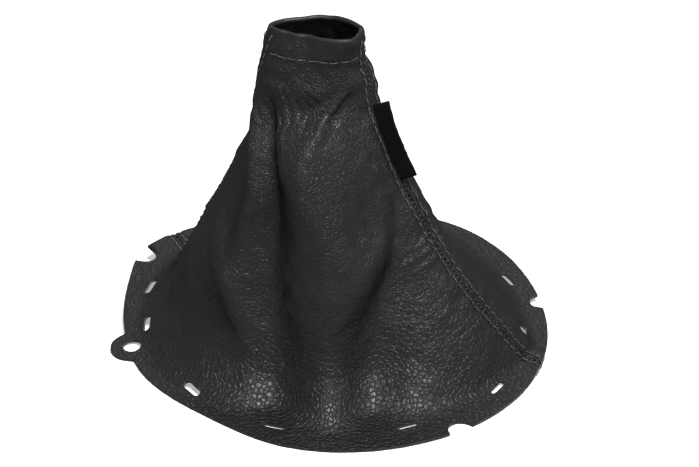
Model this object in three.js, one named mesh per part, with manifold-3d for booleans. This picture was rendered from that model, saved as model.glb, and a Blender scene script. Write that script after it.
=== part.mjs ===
// A leather gear lever gaiter: two panels sewn together down both sides, a turned-in hem
// round the lever collar, a wide flange with mounting slots, and a blank ribbon tag in one seam.
// Millimetres, +Z up, -Y is the front. The origin is the middle of the base.

import * as THREE from "three";
import { mergeVertices } from "three/addons/utils/BufferGeometryUtils.js";
import Module from "manifold-3d";

const wasm = await Module();
wasm.setup();

// Overall form
const gaiterHeight = 154;
const flangeRadius = 100;
const flangeLift = 7;
const collarHalfWidth = 20.3;
const collarHalfDepth = 14;
const collarShiftLeft = 9.5;
const collarShiftBack = 5;
const foldDepth = 6.5;

// Leather, hem and seams
const leather = 1.3;
const hemHeight = 12.5;
const hemTurnIn = 14.5;
const seamAllowance = 8;
const seamGap = 0.3;
const turnStep = 0.4;

// Sewing
const stitchPitch = 4.6;
const topstitchOffset = 3;
const threadRadius = 0.3;
const threadClearance = 0.4;
const stitchRise = 0.35;
const threadSides = 3;
const stitchEndMargin = 2;
const joinStitchFoot = 0.22;
const joinClearance = 0.65;

// Mounting slots, edge notches and the ear with its hole
const slotLength = 10.8;
const slotWidth = 3;
const slotInset = 11;
const notchWidth = 12;
const notchDepth = 6;
const earRadius = 10;
const earInset = 1.8;
const earHoleDiameter = 8.3;
const earBlend = 2;
const earAzimuth = -170.5;

// Ribbon tag
const tagLength = 37;
const tagWidth = 9;
const tagThickness = 1.2;
const tagClearance = 0.3;
const tagTop = 0.845;
const tagLean = 12;

// Azimuths are in degrees, counted from +X towards +Y. Each slot is azimuth and share of the inset,
// each notch is azimuth, share of the width and share of the depth.
const slotPlaces = [
  [162.3, 1.07],
  [180.9, 1],
  [218.4, 0.83],
  [251.1, 0.96],
  [291.5, 1.15],
  [330.3, 1.26],
  [353.9, 1.05],
  [25.4, 0.89],
  [60, 1],
  [95, 1],
  [128, 1],
];
const notchPlaces = [
  [-56, 1, 1],
  [12, 0.92, 0.9],
  [149, 1.17, 1.5],
];

// The flange's outline as azimuth and share of flangeRadius, and how far its edge lifts off the
// floor as azimuth and share of flangeLift.
const flangeOutline = [
  [15, 1],
  [42, 1.05],
  [70, 1.11],
  [100, 1.12],
  [128, 1.13],
  [148, 1.145],
  [160, 1.075],
  [180, 1.005],
  [202, 0.96],
  [230, 0.905],
  [260, 0.955],
  [285, 0.97],
  [315, 0.98],
  [342, 0.985],
];
const flangeRise = [
  [25, 0.45],
  [50, 0.7],
  [75, 0.3],
  [98, 0],
  [125, 0.7],
  [155, 1],
  [176, 0.4],
  [192, 0],
  [260, 0],
  [342, 0.05],
];

// The body's rings, from the flange to the collar. "along" places each ring between the edge, 0,
// and the collar's rim, 1, and "rise" is its share of the height. A flare of 0 is the collar's
// half size and 1 the flange's radius. A ridge is where the sewn seam stands out, as a flare too.
const rings = {
  along: [0.1, 0.2, 0.3, 0.42, 0.55, 0.68, 0.8, 0.87, 0.92, 0.95, 1],
  rise: [0, 0.035, 0.11, 0.247, 0.403, 0.558, 0.714, 0.805, 0.87, 0.916, 1],
  shiftLeft: [0, 0, 0.1, 0.42, 0.63, 0.84, 0.95, 1, 1.05, 1.1, 1],
  shiftBack: [1, 1.2, 1.4, 1.4, 1.4, 1.2, 1, 1, 1, 1, 1],
  flareRight: [0.83, 0.7, 0.55, 0.41, 0.285, 0.185, 0.103, 0.085, 0.066, 0.034, 0],
  flareLeft: [0.9, 0.765, 0.66, 0.525, 0.348, 0.197, 0.097, 0.072, 0.06, 0.041, 0],
  flareFront: [0.865, 0.735, 0.616, 0.523, 0.43, 0.36, 0.267, 0.14, 0.07, 0.035, -0.01],
  flareBack: [0.977, 0.79, 0.605, 0.442, 0.326, 0.244, 0.163, 0.128, 0.093, 0.047, 0.01],
  ridgeRight: [0.915, 0.857, 0.752, 0.603, 0.435, 0.277, 0.138, 0.097, 0.072, 0.034, 0.003],
  ridgeLeft: [0.962, 0.912, 0.8, 0.618, 0.423, 0.235, 0.11, 0.078, 0.066, 0.041, 0.028],
  seamRight: [-19, -20, -21, -21, -21, -19, -17, -14, -12, -8, -6],
  seamLeft: [142, 147, 151, 154, 157, 161, 166, 170, 173, 176, 180],
};
const rimSeamRight = -18;
const rimSeamLeft = 136;
const ridgeSet = 4;
const ridgeRound = 6;
const ridgeWidths = { rightFront: 16, rightBack: 9, leftBack: 14, leftFront: 10 };
const lowerRings = 0.42;

// Folds and lobes of the leather, each as stations of along, azimuth, half width in degrees and
// share of foldDepth, outwards where positive.
const folds = {
  crease: [
    [0.6, -114, 9, 0],
    [0.69, -120, 9, 0.25],
    [0.76, -130, 10, 0.38],
    [0.82, -146, 13, 0.32],
    [0.87, -160, 16, 0.12],
    [0.91, -166, 16, 0],
  ],
  leftValley: [
    [0.1, -107, 10, 0],
    [0.18, -108, 9, -0.4],
    [0.3, -112, 10, -0.77],
    [0.46, -114, 11, -1],
    [0.6, -111, 12, -1],
    [0.7, -109, 12, -0.92],
    [0.78, -115, 14, -0.77],
    [0.86, -138, 20, -0.46],
    [0.92, -150, 20, 0],
  ],
  leftLobe: [
    [0.12, -132, 16, 0],
    [0.3, -133, 16, 0.4],
    [0.42, -138, 16, 0.6],
    [0.54, -153, 18, 0.46],
    [0.64, -168, 18, 0.15],
    [0.72, -172, 18, 0],
  ],
  middleLobe: [
    [0.12, -87, 16, 0],
    [0.28, -87, 15, 0.46],
    [0.42, -86, 17, 0.77],
    [0.55, -86, 20, 0.77],
    [0.68, -90, 24, 0.62],
    [0.8, -90, 34, 0.46],
    [0.87, -88, 34, 0],
  ],
  rightValley: [
    [0.12, -84, 8, 0],
    [0.27, -78, 9, -0.4],
    [0.38, -74, 10, -0.7],
    [0.5, -62, 12, -0.7],
    [0.6, -50, 13, -0.4],
    [0.7, -45, 13, -0.15],
    [0.78, -45, 12, 0],
  ],
  rightLobe: [
    [0.1, -60, 14, 0],
    [0.2, -58, 14, 0.3],
    [0.32, -50, 15, 0.46],
    [0.45, -44, 15, 0.4],
    [0.56, -38, 14, 0],
  ],
  backLobeRight: [
    [0.2, 35, 15, 0],
    [0.4, 40, 16, 0.5],
    [0.6, 48, 18, 0.3],
    [0.78, 50, 18, 0],
  ],
  backValley: [
    [0.2, 68, 14, 0],
    [0.42, 70, 15, -0.5],
    [0.65, 78, 16, -0.3],
    [0.85, 80, 16, 0],
  ],
  backLobeLeft: [
    [0.2, 108, 16, 0],
    [0.42, 108, 18, 0.5],
    [0.62, 110, 18, 0.3],
    [0.8, 110, 18, 0],
  ],
  collarPinchFront: [
    [0.88, -140, 18, 0],
    [0.95, -143, 18, -0.15],
    [1, -146, 20, -0.46],
  ],
  collarPinchBack: [
    [0.9, 145, 18, 0],
    [1, 145, 20, -0.28],
  ],
  collarBelly: [
    [0.93, -70, 26, 0],
    [1, -68, 30, 0.25],
  ],
};

// Mesh fineness
const rowsAlong = [
  0, 0.03, 0.06, 0.1, 0.14, 0.18, 0.22, 0.27, 0.32, 0.37, 0.42, 0.47, 0.52, 0.57, 0.62, 0.66, 0.7,
  0.73, 0.76, 0.79, 0.82, 0.85, 0.88,
];
const frontColumns = 34;
const rearColumns = 18;
const rowSamples = 90;
const earCrowding = 6;
const earSpread = 1.3;
const rowMargin = 0.01;
const slotSegments = 4;
const notchSegments = 6;
const holeSegments = 9;
const roundSteps = [0.03, 0.35, 1];
const joinSteps = 46;
const tagSteps = 8;

const leatherFinish = { color: 0x24211f, roughness: 0.5, metalness: 0 };
const threadFinish = { color: 0x3a3735, roughness: 0.8, metalness: 0 };
const tagFinish = { color: 0x101011, roughness: 0.35, metalness: 0 };

const radians = THREE.MathUtils.degToRad;

// A smooth curve through the points (xs, ys): cubic pieces whose slopes are the weighted mean of
// the slopes on both sides.
function curveSlopes(xs, ys) {
  const steep = (i) => (ys[i + 1] - ys[i]) / (xs[i + 1] - xs[i]);
  return xs.map((x, i) => {
    if (i === 0) return steep(0);
    if (i === xs.length - 1) return steep(i - 1);
    const share = (xs[i + 1] - x) / (xs[i + 1] - xs[i - 1]);
    return share * steep(i - 1) + (1 - share) * steep(i);
  });
}

function curveAt(xs, ys, x, slopes = curveSlopes(xs, ys)) {
  let i = 0;
  while (i < xs.length - 2 && x >= xs[i + 1]) i += 1;
  const width = xs[i + 1] - xs[i];
  const s = THREE.MathUtils.clamp((x - xs[i]) / width, 0, 1);
  const rising = s * s * (3 - 2 * s);
  const startPull = s * (1 - s) * (1 - s) * width;
  const endPull = s * s * (s - 1) * width;
  return (1 - rising) * ys[i] + rising * ys[i + 1] + startPull * slopes[i] + endPull * slopes[i + 1];
}

// The same curve round a full turn.
function roundCurve(points) {
  const xs = [];
  const ys = [];
  for (const turn of [-360, 0, 360]) {
    for (const [azimuth, value] of points) {
      xs.push(azimuth + turn);
      ys.push(value);
    }
  }
  const slopes = curveSlopes(xs, ys);
  return (azimuth) => curveAt(xs, ys, THREE.MathUtils.euclideanModulo(azimuth, 360), slopes);
}

const outlineShare = roundCurve(flangeOutline);
const riseShare = roundCurve(flangeRise);

function turnBetween(from, to) {
  return THREE.MathUtils.euclideanModulo(to - from + 180, 360) - 180;
}

function plainRimRadius(azimuth) {
  return flangeRadius * outlineShare(azimuth);
}

const earDistance = plainRimRadius(earAzimuth) - earInset;

// The rim's radius with the ear: a disc about the hole, blended into the flange's edge.
function rimRadius(azimuth) {
  const plain = plainRimRadius(azimuth);
  const turn = radians(turnBetween(earAzimuth, azimuth));
  const across = earDistance * Math.sin(turn);
  if (Math.abs(turn) > Math.PI / 2 || Math.abs(across) > earRadius) return plain;
  const disc = earDistance * Math.cos(turn) + Math.sqrt(earRadius ** 2 - across ** 2);
  const near = Math.max(earBlend - Math.abs(disc - plain), 0);
  return Math.max(disc, plain) + near ** 2 / (4 * earBlend);
}

function ellipseRadius(azimuth, right, left, front, back) {
  const across = Math.cos(radians(azimuth));
  const deep = Math.sin(radians(azimuth));
  return 1 / Math.hypot(across / (across > 0 ? right : left), deep / (deep > 0 ? back : front));
}

// u runs once round the gaiter: 0 is the right seam, 0 to 1 the rear panel, 1 the left seam and
// 1 to 2 the front panel.
function azimuthOf(u, right, left) {
  return u <= 1 ? right + (left - right) * u : left + (360 + right - left) * (u - 1);
}

function halfSize(collarHalf, flare) {
  return collarHalf + (flangeRadius - collarHalf) * flare;
}

function ringCentre(ring) {
  return [-collarShiftLeft * rings.shiftLeft[ring], collarShiftBack * rings.shiftBack[ring]];
}

// A ring's radius: an ellipse of four quarters, with a rounded peak at each seam.
function ringRadius(ring, azimuth) {
  const right = halfSize(collarHalfWidth, rings.flareRight[ring]);
  const left = halfSize(collarHalfWidth, rings.flareLeft[ring]);
  const front = halfSize(collarHalfDepth, rings.flareFront[ring]);
  const back = halfSize(collarHalfDepth, rings.flareBack[ring]);
  const peaks = [
    {
      at: rings.seamRight[ring] + ridgeSet,
      top: halfSize(collarHalfWidth, rings.ridgeRight[ring]),
      before: ridgeWidths.rightFront,
      after: ridgeWidths.rightBack,
    },
    {
      at: rings.seamLeft[ring] - ridgeSet,
      top: halfSize(collarHalfWidth, rings.ridgeLeft[ring]),
      before: ridgeWidths.leftBack,
      after: ridgeWidths.leftFront,
    },
  ];
  let radius = ellipseRadius(azimuth, right, left, front, back);
  for (const peak of peaks) {
    const turn = turnBetween(peak.at, azimuth);
    const height = peak.top - ellipseRadius(peak.at, right, left, front, back);
    const away = (Math.hypot(turn, ridgeRound) - ridgeRound) / (turn > 0 ? peak.after : peak.before);
    radius += height * Math.exp(-away);
  }
  return radius;
}

function polarPoint(centre, radius, azimuth, z) {
  const x = centre[0] + radius * Math.cos(radians(azimuth));
  const y = centre[1] + radius * Math.sin(radians(azimuth));
  return [x, y, z];
}

const foldStations = Object.values(folds).map((stations) => {
  const columns = [0, 1, 2, 3].map((k) => stations.map((station) => station[k]));
  const [along, ...values] = columns;
  const curves = values.map((ys) => (t) => curveAt(along, ys, t));
  const [azimuth, halfWidth, depth] = curves;
  return { azimuth, halfWidth, depth, from: along[0], to: along[along.length - 1] };
});

// How far the folds push the leather out at one place: a rounded ridge or valley for each fold,
// faded in and out along its length.
function foldOffset(t, azimuth) {
  let offset = 0;
  for (const fold of foldStations) {
    const place = THREE.MathUtils.clamp(t, fold.from, fold.to);
    const turn = turnBetween(fold.azimuth(place), azimuth) / fold.halfWidth(place);
    offset += foldDepth * fold.depth(place) * Math.exp(-turn * turn);
  }
  return offset;
}

const stationsAlong = [0, ...rings.along];

// The grain side of the leather, before it rests on the floor: a smooth curve from the flange's
// edge through every ring, then moved out or in by the folds.
function formPoint(u, t) {
  const rimAzimuth = azimuthOf(u, rimSeamRight, rimSeamLeft);
  const lift = flangeLift * riseShare(rimAzimuth);
  const stations = [polarPoint([0, 0], rimRadius(rimAzimuth), rimAzimuth, leather + lift)];
  rings.along.forEach((along, ring) => {
    const azimuth = azimuthOf(u, rings.seamRight[ring], rings.seamLeft[ring]);
    const carried = lift * Math.max(0, 1 - along / lowerRings);
    const z = leather + (gaiterHeight - leather) * rings.rise[ring] + carried;
    stations.push(polarPoint(ringCentre(ring), ringRadius(ring, azimuth), azimuth, z));
  });
  const [x, y, z] = [0, 1, 2].map((k) => {
    const ys = stations.map((station) => station[k]);
    return curveAt(stationsAlong, ys, t);
  });
  const centreX = -collarShiftLeft * curveAt(stationsAlong, [0, ...rings.shiftLeft], t);
  const centreY = collarShiftBack * curveAt(stationsAlong, [0, ...rings.shiftBack], t);
  const out = new THREE.Vector2(x - centreX, y - centreY);
  const push = foldOffset(t, THREE.MathUtils.radToDeg(out.angle()));
  out.setLength(out.length() + push);
  return new THREE.Vector3(centreX + out.x, centreY + out.y, z);
}

// The form at rest: nothing of the grain side lies lower than the leather's thickness there.
function restingPoint(u, t, floorWall = 0) {
  const point = formPoint(u, t);
  point.z = Math.max(point.z, floorWall);
  return point;
}

const reach = 1e-3;

function restingNormal(u, t, floorWall = 0) {
  const at = (du, dt) => restingPoint(wrapRound(u + du), t + dt, floorWall);
  const up = Math.min(reach, 1 - t);
  const down = Math.min(reach, t);
  const round = at(reach, 0).sub(at(-reach, 0));
  const rising = at(0, up).sub(at(0, -down));
  return round.cross(rising).normalize();
}

function wrapRound(u) {
  return THREE.MathUtils.euclideanModulo(u, 2);
}

// Lengths round a panel at one height, from its first seam to its second.
function rowLengths(panel, t) {
  const us = [];
  const lengths = [0];
  let last = null;
  for (let i = 0; i <= rowSamples; i += 1) {
    const u = THREE.MathUtils.lerp(panel.from, panel.to, i / rowSamples);
    const point = formPoint(u, t);
    us.push(u);
    if (last) lengths.push(lengths[i - 1] + point.distanceTo(last));
    last = point;
  }
  return { us, lengths, total: lengths[rowSamples] };
}

function interpolate(xs, ys, x) {
  let i = 0;
  while (i < xs.length - 2 && x > xs[i + 1]) i += 1;
  const share = (x - xs[i]) / (xs[i + 1] - xs[i]);
  return THREE.MathUtils.lerp(ys[i], ys[i + 1], share);
}

const uAtLength = (row, length) => interpolate(row.lengths, row.us, length);

// Distances across a panel: close steps at each turned seam edge, and even ones between, drawn
// together round the ear towards the flange's edge.
function columnLengths(panel, row, t) {
  const edge = [
    ...roundSteps.map((share) => seamGap / 2 + share * leather),
    topstitchOffset,
    seamAllowance,
    seamAllowance + turnStep,
  ];
  const first = edge[edge.length - 1];
  const inner = [];
  const density = (length) => {
    if (!panel.earU) return 1;
    const earLength = interpolate(row.us, row.lengths, panel.earU);
    const pull = earCrowding * Math.max(0, 1 - t / rings.along[2]);
    return 1 + pull * Math.exp(-(((length - earLength) / (earSpread * earRadius)) ** 2));
  };
  const span = row.total - 2 * first;
  const sums = [0];
  const places = [0];
  for (let i = 1; i <= rowSamples * 2; i += 1) {
    const length = (span * i) / (rowSamples * 2);
    places.push(length);
    sums.push(sums[i - 1] + density(first + length));
  }
  const whole = sums[sums.length - 1];
  for (let i = 1; i < panel.columns; i += 1) {
    inner.push(first + interpolate(sums, places, (whole * i) / panel.columns));
  }
  const mirrored = edge.map((length) => row.total - length).reverse();
  return [...edge, ...inner, ...mirrored];
}

// Rows from the flange's edge to the collar's rounded rim, with a step at the end of the hem's
// turned-in leather.
function panelRows(panel) {
  const middle = (panel.from + panel.to) / 2;
  const rimSlope = formPoint(middle, 1).distanceTo(formPoint(middle, 1 - reach)) / reach;
  const below = (length) => 1 - length / rimSlope;
  const hemRows = [hemTurnIn + turnStep, hemTurnIn, hemHeight, hemHeight / 2];
  const rims = [...roundSteps].reverse().map((share) => share * leather);
  const top = [...hemRows, ...rims].map((length) => ({ t: below(length), fromTop: length }));
  const plain = rowsAlong.map((t) => ({ t, fromTop: Infinity }));
  return [...plain.filter((row) => row.t < top[0].t - rowMargin), ...top];
}

function roundedEdge(distance) {
  if (distance >= leather) return 0;
  return leather - Math.sqrt(leather ** 2 - (leather - distance) ** 2);
}

// One panel's closed sheet: the grain side, the flesh side, and the cut or turned edges between.
function panelGeometry(panel) {
  const rows = panelRows(panel).map(({ t, fromTop }) => {
    const row = rowLengths(panel, t);
    return columnLengths(panel, row, t).map((length) => {
      const u = uAtLength(row, length);
      const fromSeam = Math.min(length, row.total - length) - seamGap / 2;
      return sheetPoints(u, t, fromSeam, fromTop);
    });
  });
  const across = rows[0].length;
  const positions = [];
  for (const side of ["grain", "flesh"]) {
    for (const row of rows) row.forEach((place) => positions.push(...place[side]));
  }
  const grain = (r, c) => r * across + c;
  const flesh = (r, c) => rows.length * across + grain(r, c);
  const triangles = [];
  const quad = (a, b, c, d) => triangles.push(a, b, c, a, c, d);
  for (let r = 0; r + 1 < rows.length; r += 1) {
    for (let c = 0; c + 1 < across; c += 1) {
      quad(grain(r, c), grain(r, c + 1), grain(r + 1, c + 1), grain(r + 1, c));
      quad(flesh(r, c), flesh(r + 1, c), flesh(r + 1, c + 1), flesh(r, c + 1));
    }
    const last = across - 1;
    quad(grain(r, 0), grain(r + 1, 0), flesh(r + 1, 0), flesh(r, 0));
    quad(grain(r, last), flesh(r, last), flesh(r + 1, last), grain(r + 1, last));
  }
  const top = rows.length - 1;
  for (let c = 0; c + 1 < across; c += 1) {
    quad(grain(0, c), flesh(0, c), flesh(0, c + 1), grain(0, c + 1));
    quad(grain(top, c), grain(top, c + 1), flesh(top, c + 1), flesh(top, c));
  }
  const geometry = new THREE.BufferGeometry();
  geometry.setAttribute("position", new THREE.Float32BufferAttribute(positions, 3));
  geometry.setIndex(triangles);
  return geometry;
}

// The two faces of the leather at one place. The wall is doubled under the seam allowance and
// the hem, rounded at the seam's and the collar's folded edges, and rests on the floor.
function sheetPoints(u, t, fromSeam, fromTop) {
  const allowanceEnd = seamAllowance - seamGap / 2;
  const doubled = fromSeam < allowanceEnd + turnStep / 2 || fromTop < hemTurnIn + turnStep / 2;
  const wall = doubled ? 2 * leather : leather;
  const beyond = seamAllowance + topstitchOffset - fromSeam;
  const easing = THREE.MathUtils.smoothstep(beyond, 0, topstitchOffset);
  const floorWall = leather * (1 + easing);
  const sunk = Math.max(roundedEdge(fromSeam), roundedEdge(fromTop));
  const grain = restingPoint(u, t, floorWall);
  const normal = restingNormal(u, t, floorWall);
  const flesh = grain.clone().addScaledVector(normal, -(wall - roundedEdge(fromTop)));
  grain.addScaledVector(normal, -sunk);
  flesh.z = Math.max(flesh.z, 0);
  return { grain, flesh };
}

function solidOf(geometry) {
  const bare = geometry.clone();
  bare.deleteAttribute("normal");
  bare.deleteAttribute("uv");
  const merged = mergeVertices(bare, 1e-4);
  const triVerts = new Uint32Array(merged.index.array);
  const vertProperties = merged.attributes.position.array;
  return new wasm.Manifold(new wasm.Mesh({ numProp: 3, vertProperties, triVerts }));
}

function geometryOf(solid) {
  const mesh = solid.getMesh();
  const geometry = new THREE.BufferGeometry();
  geometry.setAttribute("position", new THREE.BufferAttribute(mesh.vertProperties, 3));
  geometry.setIndex(new THREE.BufferAttribute(mesh.triVerts, 1));
  geometry.computeVertexNormals();
  return geometry;
}

// An upright prism of a flat outline, tall enough to cut the flange and no more.
const cutterFoot = -2;
const cutterTop = 2 * flangeLift + 4 * leather;

function cutter(shape, azimuth, radius, curveSegments) {
  const depth = cutterTop - cutterFoot;
  const prism = new THREE.ExtrudeGeometry(shape, { depth, bevelEnabled: false, curveSegments });
  prism.translate(radius, 0, cutterFoot);
  prism.rotateZ(radians(azimuth));
  return solidOf(prism);
}

// A slot's outline: straight sides along the rim, with round ends.
function slotShape() {
  const run = (slotLength - slotWidth) / 2;
  const shape = new THREE.Shape();
  shape.absarc(0, run, slotWidth / 2, 0, Math.PI);
  shape.absarc(0, -run, slotWidth / 2, Math.PI, 2 * Math.PI);
  return shape;
}

// A notch's outline: half an ellipse towards the middle, open at the flange's edge.
function notchShape(width, depth) {
  const beyond = depth;
  const shape = new THREE.Shape();
  shape.moveTo(beyond, width / 2);
  shape.absellipse(0, 0, depth, width / 2, Math.PI / 2, 1.5 * Math.PI);
  shape.lineTo(beyond, -width / 2);
  return shape;
}

function earHoleShape() {
  const shape = new THREE.Shape();
  shape.absarc(0, 0, earHoleDiameter / 2, 0, 2 * Math.PI);
  return shape;
}

function flangeCutters() {
  const slots = slotPlaces.map(([azimuth, share]) => {
    const radius = plainRimRadius(azimuth) - slotInset * share;
    return cutter(slotShape(), azimuth, radius, slotSegments);
  });
  const notches = notchPlaces.map(([azimuth, widthShare, depthShare]) => {
    const shape = notchShape(notchWidth * widthShare, notchDepth * depthShare);
    return cutter(shape, azimuth, plainRimRadius(azimuth), notchSegments);
  });
  return [...slots, ...notches, cutter(earHoleShape(), earAzimuth, earDistance, holeSegments)];
}

const cutters = flangeCutters();

function leatherPanel(panel) {
  let solid = solidOf(panelGeometry(panel));
  for (const cut of cutters) solid = solid.subtract(cut);
  return geometryOf(solid);
}

// A thread as a closed bar of few sides through the places, which each have a point, an upward
// normal and a sideways direction.
function threadGeometry(places) {
  const positions = [];
  const triangles = [];
  for (const { point, normal, side } of places) {
    for (let k = 0; k < threadSides; k += 1) {
      const angle = Math.PI / 2 + (2 * Math.PI * k) / threadSides;
      const corner = point.clone().addScaledVector(normal, threadRadius * Math.sin(angle));
      positions.push(...corner.addScaledVector(side, threadRadius * Math.cos(angle)));
    }
  }
  const corner = (i, k) => i * threadSides + (k % threadSides);
  for (let i = 0; i + 1 < places.length; i += 1) {
    for (let k = 0; k < threadSides; k += 1) {
      triangles.push(corner(i, k), corner(i, k + 1), corner(i + 1, k + 1));
      triangles.push(corner(i, k), corner(i + 1, k + 1), corner(i + 1, k));
    }
  }
  const last = places.length - 1;
  for (let k = 1; k + 1 < threadSides; k += 1) {
    triangles.push(corner(0, 0), corner(0, k + 1), corner(0, k));
    triangles.push(corner(last, 0), corner(last, k), corner(last, k + 1));
  }
  const geometry = new THREE.BufferGeometry();
  geometry.setAttribute("position", new THREE.Float32BufferAttribute(positions, 3));
  geometry.setIndex(triangles);
  return geometry;
}

// Gives each place of a thread its sideways direction, so that the bar's faces point out.
function directed(places) {
  return places.map((place, i) => {
    const before = places[Math.max(i - 1, 0)].point;
    const after = places[Math.min(i + 1, places.length - 1)].point;
    const ahead = after.clone().sub(before);
    return { ...place, side: ahead.cross(place.normal).negate().normalize() };
  });
}

// Places above the leather on a line from one (u, t) to the next. Stitches rise and dip by turns.
function stitchPlaces(line) {
  const length = line.length;
  const halves = 2 * Math.max(1, Math.round(length / stitchPitch));
  const places = [];
  for (let i = 0; i <= halves; i += 1) {
    const { point, normal } = line.at((length * i) / halves);
    const lift = threadClearance + threadRadius + (i % 2 ? stitchRise : 0);
    places.push({ point: point.clone().addScaledVector(normal, lift), normal });
  }
  return directed(places);
}

// A line on the leather through sampled places, measured by its length.
function measuredLine(samples) {
  const lengths = [0];
  for (let i = 1; i < samples.length; i += 1) {
    lengths.push(lengths[i - 1] + samples[i].point.distanceTo(samples[i - 1].point));
  }
  const length = lengths[lengths.length - 1];
  const at = (run) => {
    let i = 0;
    while (i < lengths.length - 2 && run > lengths[i + 1]) i += 1;
    const share = (run - lengths[i]) / (lengths[i + 1] - lengths[i]);
    const point = samples[i].point.clone().lerp(samples[i + 1].point, share);
    const normal = samples[i].normal.clone().lerp(samples[i + 1].normal, share).normalize();
    return { point, normal };
  };
  return { length, at };
}

const seamSamples = 120;

function placeOn(u, t, floorWall) {
  return { point: restingPoint(u, t, floorWall), normal: restingNormal(u, t, floorWall) };
}

// A row of topstitching down one panel beside a seam. "atEnd" picks the panel's second seam.
function topstitch(panel, atEnd) {
  const samples = [];
  const rows = panelRows(panel);
  const from = stitchEndMargin / gaiterHeight;
  const to = rows[rows.length - 1].t - stitchEndMargin / gaiterHeight;
  for (let i = 0; i <= seamSamples; i += 1) {
    const t = THREE.MathUtils.lerp(from, to, i / seamSamples);
    const row = rowLengths(panel, t);
    const run = atEnd ? row.total - topstitchOffset : topstitchOffset;
    samples.push(placeOn(uAtLength(row, run), t, 2 * leather));
  }
  return threadGeometry(stitchPlaces(measuredLine(samples)));
}

// The hem's row of stitches on one panel, between the two rows of topstitching.
function hemStitch(panel) {
  const { t } = panelRows(panel).find((row) => row.fromTop === hemHeight);
  const row = rowLengths(panel, t);
  const margin = topstitchOffset + stitchEndMargin;
  const samples = [];
  for (let i = 0; i <= seamSamples; i += 1) {
    const length = THREE.MathUtils.lerp(margin, row.total - margin, i / seamSamples);
    samples.push(placeOn(uAtLength(row, length), t, leather));
  }
  return threadGeometry(stitchPlaces(measuredLine(samples)));
}

// The seam's own row of stitches, which shows only inside the gaiter, along the joined edges.
function joinStitch(u) {
  const depth = 2 * leather + joinClearance + threadRadius;
  const places = [];
  for (let i = 0; i <= joinSteps; i += 1) {
    const t = THREE.MathUtils.lerp(joinStitchFoot, 1 - hemHeight / gaiterHeight, i / joinSteps);
    const { point, normal } = placeOn(u, t, 0);
    places.push({ point: point.addScaledVector(normal, -depth), normal });
  }
  return threadGeometry(directed(places));
}

// The ribbon tag: a folded tape that stands out of the right seam and leans a little back.
function tagGeometry() {
  const samples = [];
  for (let i = 0; i <= seamSamples; i += 1) {
    const t = THREE.MathUtils.lerp(tagTop, 0, i / seamSamples);
    samples.push(placeOn(0, t, 0));
  }
  const line = measuredLine(samples);
  const ahead = line.at(tagLength).point.sub(line.at(0).point).normalize();
  const middle = line.at(tagLength / 2);
  const out = middle.normal.clone().addScaledVector(ahead, -middle.normal.dot(ahead)).normalize();
  out.applyAxisAngle(ahead, -radians(tagLean));
  const across = new THREE.Vector3().crossVectors(ahead, out).multiplyScalar(tagThickness / 2);
  const positions = [];
  const triangles = [];
  for (let i = 0; i <= tagSteps; i += 1) {
    const { point } = line.at((tagLength * i) / tagSteps);
    for (const [run, turn] of [[tagClearance, 1], [tagClearance, -1], [tagWidth, -1], [tagWidth, 1]]) {
      positions.push(...point.clone().addScaledVector(out, run).addScaledVector(across, turn));
    }
  }
  const corner = (i, k) => 4 * i + (k % 4);
  const quad = (a, b, c, d) => triangles.push(a, b, c, a, c, d);
  for (let i = 0; i < tagSteps; i += 1) {
    for (let k = 0; k < 4; k += 1) {
      quad(corner(i, k), corner(i, k + 1), corner(i + 1, k + 1), corner(i + 1, k));
    }
  }
  quad(corner(0, 3), corner(0, 2), corner(0, 1), corner(0, 0));
  quad(corner(tagSteps, 0), corner(tagSteps, 1), corner(tagSteps, 2), corner(tagSteps, 3));
  const geometry = new THREE.BufferGeometry();
  geometry.setAttribute("position", new THREE.Float32BufferAttribute(positions, 3));
  geometry.setIndex(triangles);
  return geometry;
}

function named(name, geometry, finish) {
  geometry.computeVertexNormals();
  const mesh = new THREE.Mesh(geometry, new THREE.MeshStandardMaterial(finish));
  mesh.name = name;
  return mesh;
}

const frontSpan = 360 + rimSeamRight - rimSeamLeft;
const earU = 1 + (earAzimuth + 360 - rimSeamLeft) / frontSpan;
const frontPanel = { from: 1, to: 2, columns: frontColumns, earU };
const rearPanel = { from: 0, to: 1, columns: rearColumns };

const sewn = new THREE.Group();
sewn.add(
  named("front_panel", leatherPanel(frontPanel), leatherFinish),
  named("rear_panel", leatherPanel(rearPanel), leatherFinish),
  named("label_tag", tagGeometry(), tagFinish),
  named("right_seam_front_topstitch", topstitch(frontPanel, true), threadFinish),
  named("right_seam_rear_topstitch", topstitch(rearPanel, false), threadFinish),
  named("left_seam_front_topstitch", topstitch(frontPanel, false), threadFinish),
  named("left_seam_rear_topstitch", topstitch(rearPanel, true), threadFinish),
  named("front_hem_stitch", hemStitch(frontPanel), threadFinish),
  named("rear_hem_stitch", hemStitch(rearPanel), threadFinish),
  named("right_join_stitch", joinStitch(0), threadFinish),
  named("left_join_stitch", joinStitch(1), threadFinish),
);

// The group's origin is the middle of the base.
const box = new THREE.Box3().setFromObject(sewn, true);
const centre = box.getCenter(new THREE.Vector3());
sewn.position.set(-centre.x, -centre.y, -box.min.z);

const gaiter = new THREE.Group();
gaiter.name = "gear_lever_gaiter";
gaiter.add(sewn);

export default gaiter;
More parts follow.
